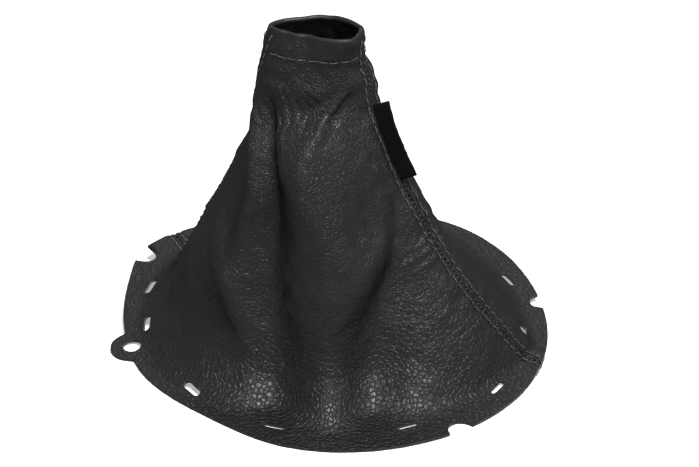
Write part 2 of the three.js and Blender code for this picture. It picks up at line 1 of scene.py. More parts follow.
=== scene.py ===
import bpy
import numpy as np
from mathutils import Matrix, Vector


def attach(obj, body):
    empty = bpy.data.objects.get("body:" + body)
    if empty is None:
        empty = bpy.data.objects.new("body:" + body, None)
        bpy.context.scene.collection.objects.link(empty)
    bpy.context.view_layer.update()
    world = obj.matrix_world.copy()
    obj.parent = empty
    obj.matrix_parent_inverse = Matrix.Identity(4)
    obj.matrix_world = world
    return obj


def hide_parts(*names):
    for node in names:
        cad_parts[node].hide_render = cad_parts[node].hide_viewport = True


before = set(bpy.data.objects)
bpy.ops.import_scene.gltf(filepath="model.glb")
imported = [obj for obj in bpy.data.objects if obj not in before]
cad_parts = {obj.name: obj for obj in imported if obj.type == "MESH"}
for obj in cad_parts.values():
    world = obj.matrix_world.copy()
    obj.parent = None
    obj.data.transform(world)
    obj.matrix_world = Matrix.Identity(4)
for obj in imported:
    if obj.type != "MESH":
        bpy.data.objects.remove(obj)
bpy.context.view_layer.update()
print("frame loaded")

# Everything is worked out in millimetres about the point that the flange's radii start from, and
# set down in metres about the middle of the base.

gaiter = {
    "height": 154, "flangeRadius": 100, "flangeLift": 7, "collarHalfWidth": 20.3, "collarHalfDepth": 14,
    "shiftLeft": 9.5, "shiftBack": 5, "foldDepth": 6.5, "foldLift": 0.8,
    "rimSeams": (-18, 136), "lowerRings": 0.42,
    "ridgeRound": 6, "ridgeWidths": {"right": (22, 9), "left": (14, 10)},
    "earRadius": 10, "earInset": 1.8, "earBlend": 2, "earAzimuth": -170.5, "earHole": 4.15,
}
leather = {
    "thickness": 1.3, "foldRadius": 0.72, "seamGap": 0.3, "allowance": 8, "topstitch": 3,
    "hemHeight": 11, "hemTurnIn": 13,
}

# The flange's edge: azimuth and share of its radius, then azimuth and share of its lift
flangeOutline = np.array([
    (15, 1), (42, 1.05), (70, 1.11), (100, 1.12), (128, 1.13), (148, 1.145), (160, 1.075),
    (180, 1.005), (202, 0.96), (230, 0.905), (260, 0.955), (285, 0.97), (315, 0.98), (342, 0.985),
])
flangeRise = np.array([
    (25, 0.45), (50, 0.7), (75, 0.3), (98, 0), (125, 0.7), (155, 1), (176, 0.4), (192, 0),
    (260, 0), (342, 0.05),
])

# The rings that the form runs through, from the flange up: where each is, how far it is moved,
# how far its sides and seam ridges stand out, where the seams are, and how far beside them the
# ridges' crests lie
rings = {
    "along": (0.1, 0.2, 0.3, 0.42, 0.55, 0.68, 0.8, 0.87, 0.92, 0.95, 1),
    "rise": (0.009, 0.05, 0.118, 0.247, 0.403, 0.558, 0.714, 0.805, 0.87, 0.916, 1),
    "shiftLeft": (0, 0, 0.1, 0.42, 0.63, 0.84, 0.95, 1, 1.05, 1.1, 1),
    "shiftBack": (1, 1.2, 1.4, 1.4, 1.4, 1.2, 1, 1, 1, 1, 1),
    "flareRight": (0.83, 0.7, 0.55, 0.41, 0.285, 0.185, 0.103, 0.085, 0.066, 0.034, 0),
    "flareLeft": (0.9, 0.765, 0.66, 0.525, 0.348, 0.197, 0.097, 0.07, 0.045, 0.022, 0.006),
    "flareFront": (0.815, 0.71, 0.608, 0.523, 0.43, 0.33, 0.19, 0.03, 0.004, -0.008, -0.01),
    "flareBack": (0.977, 0.79, 0.605, 0.442, 0.326, 0.244, 0.163, 0.128, 0.093, 0.047, 0.01),
    "ridgeRight": (0.915, 0.857, 0.752, 0.603, 0.435, 0.277, 0.138, 0.097, 0.072, 0.034, 0.003),
    "ridgeLeft": (0.962, 0.912, 0.8, 0.618, 0.423, 0.235, 0.11, 0.076, 0.05, 0.026, 0.012),
    "seamRight": (-19.5, -21.5, -24, -26, -26.5, -25, -22, -18, -15, -11, -9),
    "setRight": (4.5, 5.5, 7, 9, 9.5, 10, 9, 8, 7, 7, 7),
    "seamLeft": (142, 147, 151, 154, 157, 161, 166, 170, 173, 176, 180),
    "setLeft": (4,) * 11,
}

# Each fold's stations: place along, azimuth, half width in degrees, share of the fold depth
folds = {
    "crease": [(0.42, -134, 8, 0), (0.5, -138, 9, 0.4), (0.6, -137, 8, 0.65), (0.7, -138, 7.5, 0.7),
               (0.76, -148, 8, 0.6), (0.82, -163, 10, 0.35), (0.87, -172, 13, 0)],
    "leftHollow": [(0.6, -152, 9, 0), (0.66, -153, 10, -0.2), (0.72, -156, 10, -0.2),
                   (0.78, -160, 10, 0)],
    "leftLobe": [(0.1, -118, 6, 0), (0.2, -121, 6, 0.15), (0.3, -125, 7, 0.28), (0.38, -130, 8, 0.4),
                 (0.46, -140, 9, 0.55), (0.52, -154, 10, 0.65), (0.58, -168, 10, 0.6), (0.66, -179, 11, 0.35),
                 (0.74, -186, 12, 0)],
    "leftGully": [(0.12, -124, 8, 0), (0.22, -128, 11, -0.2), (0.3, -135, 14, -0.3), (0.38, -150, 16, -0.3),
                  (0.46, -166, 16, 0)],
    "leftValley": [(0.02, -110, 6, 0), (0.08, -111, 8, -0.35), (0.16, -111, 10, -0.7), (0.3, -113, 13, -1.0),
                   (0.46, -118, 14, -1.15), (0.6, -119, 13, -1.15), (0.7, -121, 11, -1.0),
                   (0.78, -134, 10, -0.85), (0.85, -155, 12, -0.5), (0.9, -162, 15, 0)],
    "middleLobe": [(0.03, -90, 8, 0), (0.1, -91, 8, 0.3), (0.2, -92, 9, 0.45), (0.34, -92, 11, 0.65),
                   (0.46, -88, 15, 0.8), (0.54, -86, 16, 0.75), (0.64, -91, 16, 0.75), (0.72, -98, 17, 0.8),
                   (0.77, -104, 21, 0.6), (0.81, -104, 24, 0.3), (0.85, -100, 24, 0)],
    "neckHollow": [(0.83, -90, 36, 0), (0.85, -90, 36, -0.3), (0.875, -90, 34, 0), (0.895, -90, 34, 0.12),
                   (0.92, -90, 34, 0)],
    "middleHollow": [(0.54, -66, 9, 0), (0.62, -62, 13, -0.2), (0.7, -56, 16, -0.25), (0.8, -48, 18, -0.3),
                     (0.86, -40, 16, -0.2), (0.9, -36, 12, 0)],
    "sideLobe": [(0.4, -72, 8, 0), (0.47, -67, 9, 0.2), (0.54, -57, 11, 0.35),
                 (0.6, -49, 11, 0.2), (0.66, -42, 11, 0)],
    "shelfRidge": [(0.62, -96, 8, 0), (0.7, -98, 8, 0.2), (0.76, -98, 8, 0.3), (0.8, -95, 8, 0.35),
                   (0.83, -87, 9, 0.45), (0.86, -71, 10, 0.5), (0.88, -58, 9, 0.35), (0.9, -46, 9, 0)],
    "rightValley": [(0.02, -78, 6, 0), (0.08, -79, 8, -0.35), (0.16, -79, 11, -0.65), (0.27, -76, 14, -1.0),
                    (0.35, -71, 15, -1.15), (0.41, -66, 15, -1.15), (0.47, -59, 14, -1.05),
                    (0.52, -52, 12, -0.85), (0.57, -46, 10, -0.6), (0.64, -37, 9, -0.3),
                    (0.7, -32, 9, 0)],
    "rightLobe": [(0.1, -44, 20, 0), (0.2, -42, 19, 0.25), (0.3, -38, 19, 0.75), (0.38, -34, 17, 0.65),
                  (0.48, -30, 13, 0.4), (0.56, -28, 12, 0)],
    "backLobeRight": [(0.2, 35, 15, 0), (0.4, 40, 16, 0.5), (0.6, 48, 18, 0.3), (0.78, 50, 18, 0)],
    "backValley": [(0.2, 68, 14, 0), (0.42, 70, 15, -0.5), (0.65, 78, 16, -0.3), (0.85, 80, 16, 0)],
    "backLobeLeft": [(0.2, 108, 16, 0), (0.42, 108, 18, 0.5), (0.62, 110, 18, 0.3),
                     (0.8, 110, 18, 0)],
    "collarTip": [(0.9, -160, 22, 0), (0.95, -160, 22, -0.3), (1, -160, 22, -0.8)],
    "collarPinch": [(0.9, -118, 34, 0), (0.95, -118, 34, -0.25), (1, -118, 34, -0.75)],
    "collarPinchBack": [(0.9, 120, 26, 0), (1, 118, 30, -0.32)],
    "collarBelly": [(0.88, -46, 24, 0), (0.94, -44, 24, 0.35), (1, -42, 24, 0.8)],
}

# The slots through the flange: azimuth, and share of the inset from its edge. Between two
# azimuths at the front they are drawn narrower, so that less of the floor shows through them.
slots = {
    "length": 10.8, "width": 3, "inset": 11, "narrowBy": 0.9, "narrowFrom": 240, "narrowTo": 330,
    "marginAcross": 1.7, "marginAlong": 1.9,
    "places": [(162.3, 1.07), (180.9, 1), (218.4, 0.83), (251.1, 0.96), (291.5, 1.15),
               (325.5, 0.95), (353.9, 1.05), (25.4, 0.89), (60, 1), (95, 1), (128, 1)],
}
# The notches in its edge: azimuth, width and depth
notches = [(-56, 12, 6), (12, 11, 5.4), (149, 14, 9)]


def smoothStep(value, low, high):
    share = np.clip((value - low) / (high - low), 0, 1)
    return share * share * (3 - 2 * share)


def unit(vectors):
    return vectors / np.maximum(np.linalg.norm(vectors, axis=-1, keepdims=True), 1e-12)


# Length run at each point of a line
def runAlong(x, y):
    return np.concatenate([[0], np.cumsum(np.hypot(np.diff(x), np.diff(y)))])


# A cubic through the points (xs, ys); each slope is the weighted mean of those beside it. ys may
# hold a whole array at each x.
def curveAt(xs, ys, x):
    xs = np.asarray(xs, float)
    ys = np.asarray(ys, float)
    x = np.asarray(x, float)
    spread = (-1,) + (1,) * (ys.ndim - 1)
    steep = np.diff(ys, axis=0) / np.diff(xs).reshape(spread)
    share = ((xs[2:] - xs[1:-1]) / (xs[2:] - xs[:-2])).reshape(spread)
    slopes = np.concatenate([steep[:1], share * steep[:-1] + (1 - share) * steep[1:], steep[-1:]])
    i = np.clip(np.searchsorted(xs, x, side="right") - 1, 0, len(xs) - 2)
    width = xs[i + 1] - xs[i]
    s = np.clip((x - xs[i]) / width, 0, 1)
    if ys.ndim == 1:
        y0, y1, m0, m1 = ys[i], ys[i + 1], slopes[i], slopes[i + 1]
    else:
        i = np.broadcast_to(i, ys.shape[1:])[None]
        y0, y1, m0, m1 = (np.take_along_axis(a, i + k, 0)[0]
                          for a, k in ((ys, 0), (ys, 1), (slopes, 0), (slopes, 1)))
    rising = s * s * (3 - 2 * s)
    pull = s * (1 - s) * (1 - s) * width * m0 + s * s * (s - 1) * width * m1
    return (1 - rising) * y0 + rising * y1 + pull


# The same curve round a full turn.
def roundCurve(points, azimuth):
    xs = np.concatenate([points[:, 0] + turn for turn in (-360, 0, 360)])
    return curveAt(xs, np.tile(points[:, 1], 3), np.mod(azimuth, 360))


def turnBetween(start, end):
    return np.mod(end - start + 180, 360) - 180


def plainRimRadius(azimuth):
    return gaiter["flangeRadius"] * roundCurve(flangeOutline, azimuth)


earDistance = float(plainRimRadius(np.array(gaiter["earAzimuth"]))) - gaiter["earInset"]


# The rim's radius: the flange's edge, and a disc round the ear's hole blended into it.
def rimRadius(azimuth):
    plain = plainRimRadius(azimuth)
    turn = np.radians(turnBetween(gaiter["earAzimuth"], azimuth))
    across = earDistance * np.sin(turn)
    inside = (np.abs(turn) < np.pi / 2) & (np.abs(across) < gaiter["earRadius"])
    disc = earDistance * np.cos(turn) + np.sqrt(np.maximum(gaiter["earRadius"] ** 2 - across ** 2, 0))
    near = np.maximum(gaiter["earBlend"] - np.abs(disc - plain), 0)
    joined = np.maximum(disc, plain) + near ** 2 / (4 * gaiter["earBlend"])
    return np.where(inside, joined, plain)


def ellipseRadius(azimuth, right, left, front, back):
    across = np.cos(np.radians(azimuth))
    deep = np.sin(np.radians(azimuth))
    return 1 / np.hypot(across / np.where(across > 0, right, left), deep / np.where(deep > 0, back, front))


# u runs once round the gaiter: 0 is the right seam, 0 to 1 the rear panel, 1 the left seam and
# 1 to 2 the front panel.
def azimuthOf(u, right, left):
    return np.where(u <= 1, right + (left - right) * u, left + (360 + right - left) * (u - 1))


def halfSize(half, flare):
    return half + (gaiter["flangeRadius"] - half) * flare


# A ring's radius: an ellipse of four quarters with a rounded peak at each seam.
def ringRadius(ring, azimuth):
    wide, deep = gaiter["collarHalfWidth"], gaiter["collarHalfDepth"]
    sizes = [halfSize(wide, rings["flareRight"][ring]), halfSize(wide, rings["flareLeft"][ring]),
             halfSize(deep, rings["flareFront"][ring]), halfSize(deep, rings["flareBack"][ring])]
    radius = ellipseRadius(azimuth, *sizes)
    for side, sign in (("Right", 1), ("Left", -1)):
        at = rings["seam" + side][ring] + sign * rings["set" + side][ring]
        before, after = gaiter["ridgeWidths"][side.lower()]
        height = halfSize(wide, rings["ridge" + side][ring]) - ellipseRadius(np.array(at), *sizes)
        turn = turnBetween(at, azimuth)
        away = np.hypot(turn, gaiter["ridgeRound"]) - gaiter["ridgeRound"]
        radius = radius + height * np.exp(-away / np.where(turn > 0, after, before))
    return radius


# How far the folds push the leather out: a rounded ridge or valley for each, faded at its ends.
def foldOffset(t, azimuth):
    offset = np.zeros(np.broadcast(t, azimuth).shape)
    for stations in folds.values():
        along, middle, half, depth = np.array(stations, float).T
        place = np.clip(t, along[0], along[-1])
        turn = turnBetween(curveAt(along, middle, place), azimuth) / curveAt(along, half, place)
        offset += gaiter["foldDepth"] * curveAt(along, depth, place) * np.exp(-turn * turn)
    return offset


stationsAlong = np.array((0,) + rings["along"])


# The plain grain side: a smooth curve from the flange's edge through every ring, moved by the
# folds. u and t are arrays of one shape.
def formPoint(u, t):
    u, t = np.broadcast_arrays(np.mod(u, 2), t)
    rimAzimuth = azimuthOf(u, *gaiter["rimSeams"])
    lift = gaiter["flangeLift"] * roundCurve(flangeRise, rimAzimuth)
    radius = rimRadius(rimAzimuth)
    wall = leather["thickness"]
    turn = np.radians(rimAzimuth)
    xs, ys, zs = [radius * np.cos(turn)], [radius * np.sin(turn)], [wall + lift]
    for ring, along in enumerate(rings["along"]):
        azimuth = azimuthOf(u, rings["seamRight"][ring], rings["seamLeft"][ring])
        radius = ringRadius(ring, azimuth)
        turn = np.radians(azimuth)
        xs.append(radius * np.cos(turn) - gaiter["shiftLeft"] * rings["shiftLeft"][ring])
        ys.append(radius * np.sin(turn) + gaiter["shiftBack"] * rings["shiftBack"][ring])
        carried = lift * max(0, 1 - along / gaiter["lowerRings"])
        zs.append(wall + (gaiter["height"] - wall) * rings["rise"][ring] + carried)
    x, y, z = (curveAt(stationsAlong, np.stack(values), t) for values in (xs, ys, zs))
    centreX = -gaiter["shiftLeft"] * curveAt(stationsAlong, (0,) + rings["shiftLeft"], t)
    centreY = gaiter["shiftBack"] * curveAt(stationsAlong, (0,) + rings["shiftBack"], t)
    outX, outY = x - centreX, y - centreY
    distance = np.hypot(outX, outY)
    offset = foldOffset(t, np.degrees(np.arctan2(outY, outX)))
    grow = 1 + offset / distance
    lifted = offset * gaiter["foldLift"] * smoothStep(t, 0.45, 0.12)  # low folds also stand up
    z = z + lifted * smoothStep(t, 0.03, 0.16)
    return np.stack([centreX + outX * grow, centreY + outY * grow, z], -1)


rimLine = formPoint(np.linspace(0, 2, 4001), np.zeros(4001))
baseMiddle = np.array([*(rimLine.min(0) + rimLine.max(0))[:2] / 2, 0])
print("middle of the base", np.round(baseMiddle, 3))


# The samples of a panel's tables, and the column up its middle
tables = {"columns": 301, "rows": 401, "middle": 150}


# A panel's tables: lengths round it at each height, plain normals, and lengths up its seams.
def measurePanel(name, start, end):
    us = np.linspace(start, end, tables["columns"])
    ts = np.linspace(0, 1, tables["rows"])
    points = formPoint(us[None, :], ts[:, None])
    steps = np.linalg.norm(np.diff(points, axis=1), axis=-1)
    lengths = np.concatenate([np.zeros((len(ts), 1)), np.cumsum(steps, 1)], 1)
    normals = unit(np.cross(np.gradient(points, axis=1), np.gradient(points, axis=0)))
    climbs = np.linalg.norm(np.diff(points, axis=0), axis=-1)
    runs = np.concatenate([np.zeros((1, len(us))), np.cumsum(climbs, 0)], 0)
    rimSlope = climbs[-1, tables["middle"]] * (len(ts) - 1)
    return {"name": name, "start": start, "end": end, "us": us, "ts": ts, "lengths": lengths,
            "normals": normals, "runs": runs, "rimSlope": rimSlope}


# Reads a panel's table between its samples.
def lookUp(panel, key, u, t):
    table = panel[key]
    row = np.clip(t, 0, 1) * (table.shape[0] - 1)
    column = np.clip((u - panel["start"]) / (panel["end"] - panel["start"]), 0, 1) * (table.shape[1] - 1)
    r = np.minimum(row.astype(int), table.shape[0] - 2)
    c = np.minimum(column.astype(int), table.shape[1] - 2)
    fr, fc = row - r, column - c
    if table.ndim == 3:
        fr, fc = fr[..., None], fc[..., None]
    low = table[r, c] * (1 - fc) + table[r, c + 1] * fc
    high = table[r + 1, c] * (1 - fc) + table[r + 1, c + 1] * fc
    return low * (1 - fr) + high * fr


# Length from the panel's first seam, and the row's whole length
def rowLengths(panel, u, t):
    return lookUp(panel, "lengths", u, t), lookUp(panel, "lengths", np.full_like(u, panel["end"]), t)


frontPanel = measurePanel("front_panel", 1, 2)
rearPanel = measurePanel("rear_panel", 0, 1)
print("form measured")

# Sewing: where the needle went, and how the leather gives way to it
sewing = {
    "pitch": 4.6, "grooveDepth": 0.42, "grooveWidth": 0.8, "holeDepth": 0.28, "endMargin": 2,
    "pillow": 0.24, "pillowWidth": 2.2, "pillowAway": 2.6, "crest": 0.12, "crestAway": 1.5,
    "pucker": 0.22, "puckerAway": 7, "hemPucker": 0.16, "hemPuckerReach": 6,
    "hemBulge": 0.45, "hemBulgeReach": 6, "hemStep": 0.3, "hemRound": 3,
}

# The leather's unevenness, as heights and wavelengths: its sag, buckles and fine waves, and the
# ripples where it lies on the floor
uneven = {
    "sag": 0.35, "sagWave": 34, "buckle": 0.12, "buckleWave": 11, "fine": 0.05, "fineWave": 5,
    "ripple": 0.12, "rippleWave": 30, "smallRipple": 0.05, "smallRippleWave": 9,
}

# Fields of small wrinkles: where, how far they reach, which way they run, their length, width
# and height
wrinkles = [
    ((-18, -12, 136), 17, (0.63, -0.39, -0.67), 26, 5.5, 0.24),
    ((-24, -10, 118), 20, (0.5, -0.6, -0.6), 30, 8, 0.3),
    ((6, -13, 128), 13, (0.8, 0.6, 0.05), 18, 5, 0.25),
    ((22, -18, 96), 18, (0.6, 0.75, 0.2), 18, 6.5, 0.25),
    ((44, -20, 56), 20, (-0.45, -0.75, -0.49), 20, 6.5, 0.42),
    ((60, -24, 29), 20, (-0.59, -0.73, -0.33), 20, 6, 0.42),
    ((-54, -18, 48), 26, (0.25, -0.77, -0.58), 36, 9, 0.3),
    ((0, 20, 120), 26, (0.5, 0.1, -0.85), 30, 8, 0.25),
]


# A smooth random field: a sum of waves whose directions and phases are drawn from a seed.
def softNoise(points, wavelength, seed):
    draw = np.random.default_rng(seed)
    waves = unit(draw.normal(size=(16, 3))) * 2 * np.pi / wavelength * draw.uniform(0.6, 1.4, (16, 1))
    phases = draw.uniform(0, 2 * np.pi, 16)
    return sum(np.cos(points @ wave + phase) for wave, phase in zip(waves, phases)) / np.sqrt(8)


# How deep the wrinkles of a field are: they run one way and fade out from its middle. Taken off
# the form they leave round tops with narrow valleys between.
def wrinkleOffset(points, field, seed):
    draw = np.random.default_rng(seed)
    at, reach, along, length, width, height = field
    at = np.array(at, float)
    along = unit(np.array(along, float))
    outward = unit(np.array([at[0] + gaiter["shiftLeft"], at[1] - gaiter["shiftBack"], 0]))
    across = unit(np.cross(outward, along))
    away = np.linalg.norm(points - at, axis=-1) / reach
    total = 0
    for _ in range(9):
        wave = across * 2 * np.pi / width * draw.uniform(0.55, 1.35)
        wave = wave + along * 2 * np.pi / length * draw.normal()
        total = total + np.cos(points @ wave + draw.uniform(0, 2 * np.pi))
    ridged = 1 - 1.6 * np.abs(total / 3)
    return height * ridged * np.exp(-away ** 2)


# 1 once in each stitch's length, 0 halfway between
def stitchBeat(run):
    return 0.5 + 0.5 * np.cos(2 * np.pi * run / sewing["pitch"])


# The groove that a row of stitches draws into the leather, deepest once in each stitch's length
def rowGroove(away, beat):
    row = away / sewing["grooveWidth"]
    return (sewing["grooveDepth"] - sewing["holeDepth"] * (1 - beat)) * np.exp(-row * row)


# Everything that stands out of or sinks into the plain form, in millimetres along its normal.
def detailOffset(panel, u, t, points):
    length, total = rowLengths(panel, u, t)
    fromTop = (1 - t) * panel["rimSlope"]
    above = smoothStep(points[..., 2], 2, 12)
    offset = uneven["sag"] * above * softNoise(points, uneven["sagWave"], 3) * smoothStep(fromTop, 4, 20)
    offset += uneven["buckle"] * above * softNoise(points, uneven["buckleWave"], 5)
    offset += uneven["fine"] * softNoise(points, uneven["fineWave"], 8)
    for seed, field in enumerate(wrinkles):
        offset -= wrinkleOffset(points, field, 20 + seed) * smoothStep(fromTop, 13, 17)
    hem = smoothStep(fromTop, leather["hemTurnIn"] + 1, leather["hemTurnIn"] - 1.5)
    for edge, away in ((panel["start"], length), (panel["end"], total - length)):
        run = lookUp(panel, "runs", np.full_like(u, edge), t)
        beat = stitchBeat(run)
        offset -= rowGroove(away - leather["topstitch"], beat)
        side = (away - leather["topstitch"] - sewing["pillowAway"]) / sewing["pillowWidth"]
        offset += sewing["pillow"] * (0.8 + 0.2 * (1 - beat)) * np.exp(-side * side)
        middle = away - sewing["crestAway"]
        offset += sewing["crest"] * np.exp(-middle * middle)
        offset += sewing["hemBulge"] * hem * np.exp(-(away / sewing["hemBulgeReach"]) ** 2)
        pucker = softNoise(np.stack([run, away * 0.25, run * 0], -1), 7, 11 + int(edge))
        near = np.exp(-((away - sewing["puckerAway"]) / sewing["puckerAway"]) ** 2)
        offset += sewing["pucker"] * pucker * near * (away > 0) * above
    fromRow = fromTop - leather["hemHeight"]
    offset -= rowGroove(fromRow, stitchBeat(length))
    offset += sewing["hemStep"] * hem * (1 - 0.5 * np.exp(-(fromTop / sewing["hemRound"]) ** 2))
    pucker = softNoise(np.stack([length, fromTop * 0.15, length * 0], -1), 6, 17)
    offset += sewing["hemPucker"] * pucker * np.exp(-(fromRow / sewing["hemPuckerReach"]) ** 2)
    return offset


# The leather's grain side at rest: nothing lies lower than the wall's own thickness there.
def grainPoint(panel, u, t):
    points = formPoint(u, t)
    points = points + lookUp(panel, "normals", u, t) * detailOffset(panel, u, t, points)[..., None]
    length, total = rowLengths(panel, u, t)
    fromSeam = np.minimum(length, total - length)
    reach = leather["allowance"] + leather["topstitch"]
    wall = leather["thickness"] * (1 + smoothStep(reach - fromSeam, 0, leather["topstitch"]))
    ripple = uneven["ripple"] * softNoise(points, uneven["rippleWave"], 41)
    ripple = ripple + uneven["smallRipple"] * softNoise(points, uneven["smallRippleWave"], 43)
    points[..., 2] = np.maximum(points[..., 2], wall + np.maximum(ripple, 0))
    return points


# The grain side with its frame: outward, along the row, and up the row's crossing.
def grainFrame(panel, u, t, reach=1e-3):
    low, high = np.maximum(t - reach, 0), np.minimum(t + reach, 1)
    left, right = np.maximum(u - reach, panel["start"]), np.minimum(u + reach, panel["end"])
    point = grainPoint(panel, u, t)
    around = unit(grainPoint(panel, right, t) - grainPoint(panel, left, t))
    rising = unit(grainPoint(panel, u, high) - grainPoint(panel, u, low))
    normal = unit(np.cross(around, rising))
    return point, normal, around, rising


# u where the panel's row at t has run this length from its first seam.
def uAtLength(panel, t, length):
    row = np.clip(t, 0, 1) * (len(panel["ts"]) - 1)
    result = np.empty(np.broadcast(t, length).shape)
    t, length, row = (np.broadcast_to(a, result.shape) for a in (t, length, row))
    for i in range(len(result)):  # one row of the table at a time
        r = min(int(row[i].flat[0]), len(panel["ts"]) - 2)
        share = row[i].flat[0] - r
        lengths = panel["lengths"][r] * (1 - share) + panel["lengths"][r + 1] * share
        result[i] = np.interp(length[i], lengths, panel["us"])
    return result


# Finds u and t where the plain form lies over points of the floor, by Newton's method.
def placeUnder(plan, u, t, reach=1e-4, longest=0.02, rounds=12):
    for _ in range(rounds):
        here = formPoint(u, t)[..., :2]
        alongU = (formPoint(u + reach, t)[..., :2] - here) / reach
        alongT = (formPoint(u, t + reach)[..., :2] - here) / reach
        miss = plan - here
        spread = alongU[..., 0] * alongT[..., 1] - alongU[..., 1] * alongT[..., 0]
        stepU = (miss[..., 0] * alongT[..., 1] - miss[..., 1] * alongT[..., 0]) / spread
        stepT = (alongU[..., 0] * miss[..., 1] - alongU[..., 1] * miss[..., 0]) / spread
        u = u + np.clip(stepU, -longest, longest)
        t = t + np.clip(stepT, -longest, longest)
        t = np.maximum(t, 0)
    return u, t


mesh = {
    "rowStep": 1.12, "rimStep": 0.85, "fineRim": 20, "turnSteps": 7, "flapStep": 1.3,
    "seamStep": 0.55, "columns": {"front_panel": 176, "rear_panel": 150}, "crowding": 1.3,
    "flangeShare": 0.22, "notchShare": 0.15, "notchMargin": 5, "holeRows": 50,
    "holeRings": (0, 0.14, 0.4, 0.7), "underSteps": 6, "foldSteps": 7,
}


# Rows of a panel: place along, and how far the sheet has turned over the rim there.
def panelRows(panel):
    middle = panel["runs"][:, tables["middle"]]
    hemStart = leather["hemTurnIn"] + 3
    tHem = 1 - hemStart / panel["rimSlope"]
    climb = np.interp(tHem, panel["ts"], middle)
    fine = np.arange(0, mesh["fineRim"], mesh["rimStep"])
    steps = int((climb - mesh["fineRim"]) / mesh["rowStep"])
    body = np.linspace(mesh["fineRim"], climb, steps, endpoint=False)
    lower = np.interp(np.concatenate([fine, body]), middle, panel["ts"])
    fold = leather["foldRadius"] + leather["thickness"] / 2
    fromTop = np.concatenate([np.arange(hemStart, fold + 0.4, -0.7), [fold]])
    upper = 1 - fromTop / panel["rimSlope"]
    turn = np.linspace(0, np.pi, mesh["turnSteps"] + 1)[1:]
    flap = np.arange(fold + mesh["flapStep"], leather["hemTurnIn"], mesh["flapStep"])
    t = np.concatenate([lower, upper, np.full(len(turn), upper[-1]), 1 - flap / panel["rimSlope"]])
    over = np.concatenate([np.zeros(len(lower) + len(upper)), turn, np.full(len(flap), np.pi)])
    return t, over


# Columns of a panel for each row: length from the first seam, how far the sheet has turned under
# at the seam, and which seam it is.
def panelColumns(panel, t):
    total = np.interp(t, panel["ts"], panel["lengths"][:, -1])[:, None]
    half = leather["seamGap"] / 2
    fold = half + leather["foldRadius"] + leather["thickness"] / 2
    under = np.linspace(leather["allowance"], fold + 1.2, mesh["underSteps"])
    turn = np.linspace(np.pi, 0, mesh["foldSteps"])[:-1]
    seam = np.arange(fold, leather["allowance"] + 1, mesh["seamStep"])
    edge = np.concatenate([under, np.full(len(turn), fold), seam])
    edgeTurn = np.concatenate([np.full(len(under), np.pi), turn, np.zeros(len(seam))])
    first = edge[-1]
    fractions = np.linspace(0, 1, 601)
    density = np.ones((len(t), len(fractions)))
    flange = np.clip(1 - t / mesh["flangeShare"], 0, 1)[:, None]
    for azimuth, reach in features:
        u = uOfRim(azimuth)
        if panel["start"] < u < panel["end"]:
            at = np.array([np.interp(u, panel["us"], row) for row in panel["lengths"]])
            at = np.interp(t, panel["ts"], at)[:, None]
            place = first + fractions[None] * (total - 2 * first)
            density = density + mesh["crowding"] * flange * np.exp(-((place - at) / reach) ** 2)
    sums = np.concatenate([np.zeros((len(t), 1)), np.cumsum((density[:, 1:] + density[:, :-1]) / 2, 1)], 1)
    wanted = np.linspace(0, 1, mesh["columns"][panel["name"]] + 1)[1:-1]
    inner = np.stack([np.interp(wanted, s / s[-1], fractions) for s in sums])
    inner = first + inner * (total - 2 * first)
    rows = len(t)
    lengths = np.concatenate([np.tile(edge, (rows, 1)), inner, total - np.tile(edge[::-1], (rows, 1))], 1)
    turns = np.concatenate([edgeTurn, np.zeros(inner.shape[1]), edgeTurn[::-1]])
    sides = np.concatenate([-np.ones(len(edge)), np.zeros(inner.shape[1]), np.ones(len(edge))])
    return lengths, turns, sides


def uOfRim(azimuth):
    right, left = gaiter["rimSeams"]
    turn = np.mod(azimuth - right, 360)
    span = left - right
    return turn / span if turn <= span else 1 + (turn - span) / (360 - span)


# Where on the flange columns crowd together: azimuth, and how far to each side
features = [(azimuth, 12) for azimuth, _ in slots["places"]]
features += [(azimuth, 12) for azimuth, _, _ in notches] + [(gaiter["earAzimuth"], 14)]


# Moves the first rows' places so that the flange's edge follows a notch: straight along the edge
# and round half an ellipse, shared out by length, and fading out towards the body.
def cutNotch(panel, u, t, azimuth, width, depth):
    middle = uOfRim(azimuth)
    if not panel["start"] < middle < panel["end"]:
        return u, t
    radius = float(plainRimRadius(np.array(azimuth)))
    rim = formPoint(u[0], t[0])
    place = turnBetween(azimuth, np.degrees(np.arctan2(rim[:, 1], rim[:, 0]))) * np.pi / 180 * radius
    window = width / 2 + mesh["notchMargin"]
    picked = np.flatnonzero(np.abs(place) < window)
    angle = np.linspace(0, np.pi, 200)
    arcX, arcY = -depth * np.sin(angle), -width / 2 * np.cos(angle)
    pathX = np.concatenate([[0], arcX, [0]])
    pathY = np.concatenate([[place[picked[0]]], arcY, [place[picked[-1]]]])
    run = runAlong(pathX, pathY)
    corners = run[[1, -2]]
    even = (picked - picked[0]) / (picked[-1] - picked[0]) * run[-1]
    marks = [0, np.argmin(np.abs(even - corners[0])), np.argmin(np.abs(even - corners[1])), len(picked) - 1]
    shares = np.interp(np.arange(len(picked)), marks, [0, corners[0], corners[1], run[-1]])
    x, y = np.interp(shares, run, pathX), np.interp(shares, run, pathY)
    turn = np.radians(azimuth + np.degrees(y / radius))
    distance = plainRimRadius(np.degrees(turn)) + x
    plan = np.stack([distance * np.cos(turn), distance * np.sin(turn)], -1)
    newU, newT = placeUnder(plan, u[0, picked], t[0, picked] + 0.02)
    fade = np.clip(1 - t[:, picked] / mesh["notchShare"], 0, 1)
    u, t = u.copy(), t.copy()
    u[:, picked] += (newU - u[0, picked]) * fade
    t[:, picked] += (newT - t[0, picked]) * fade
    return u, t


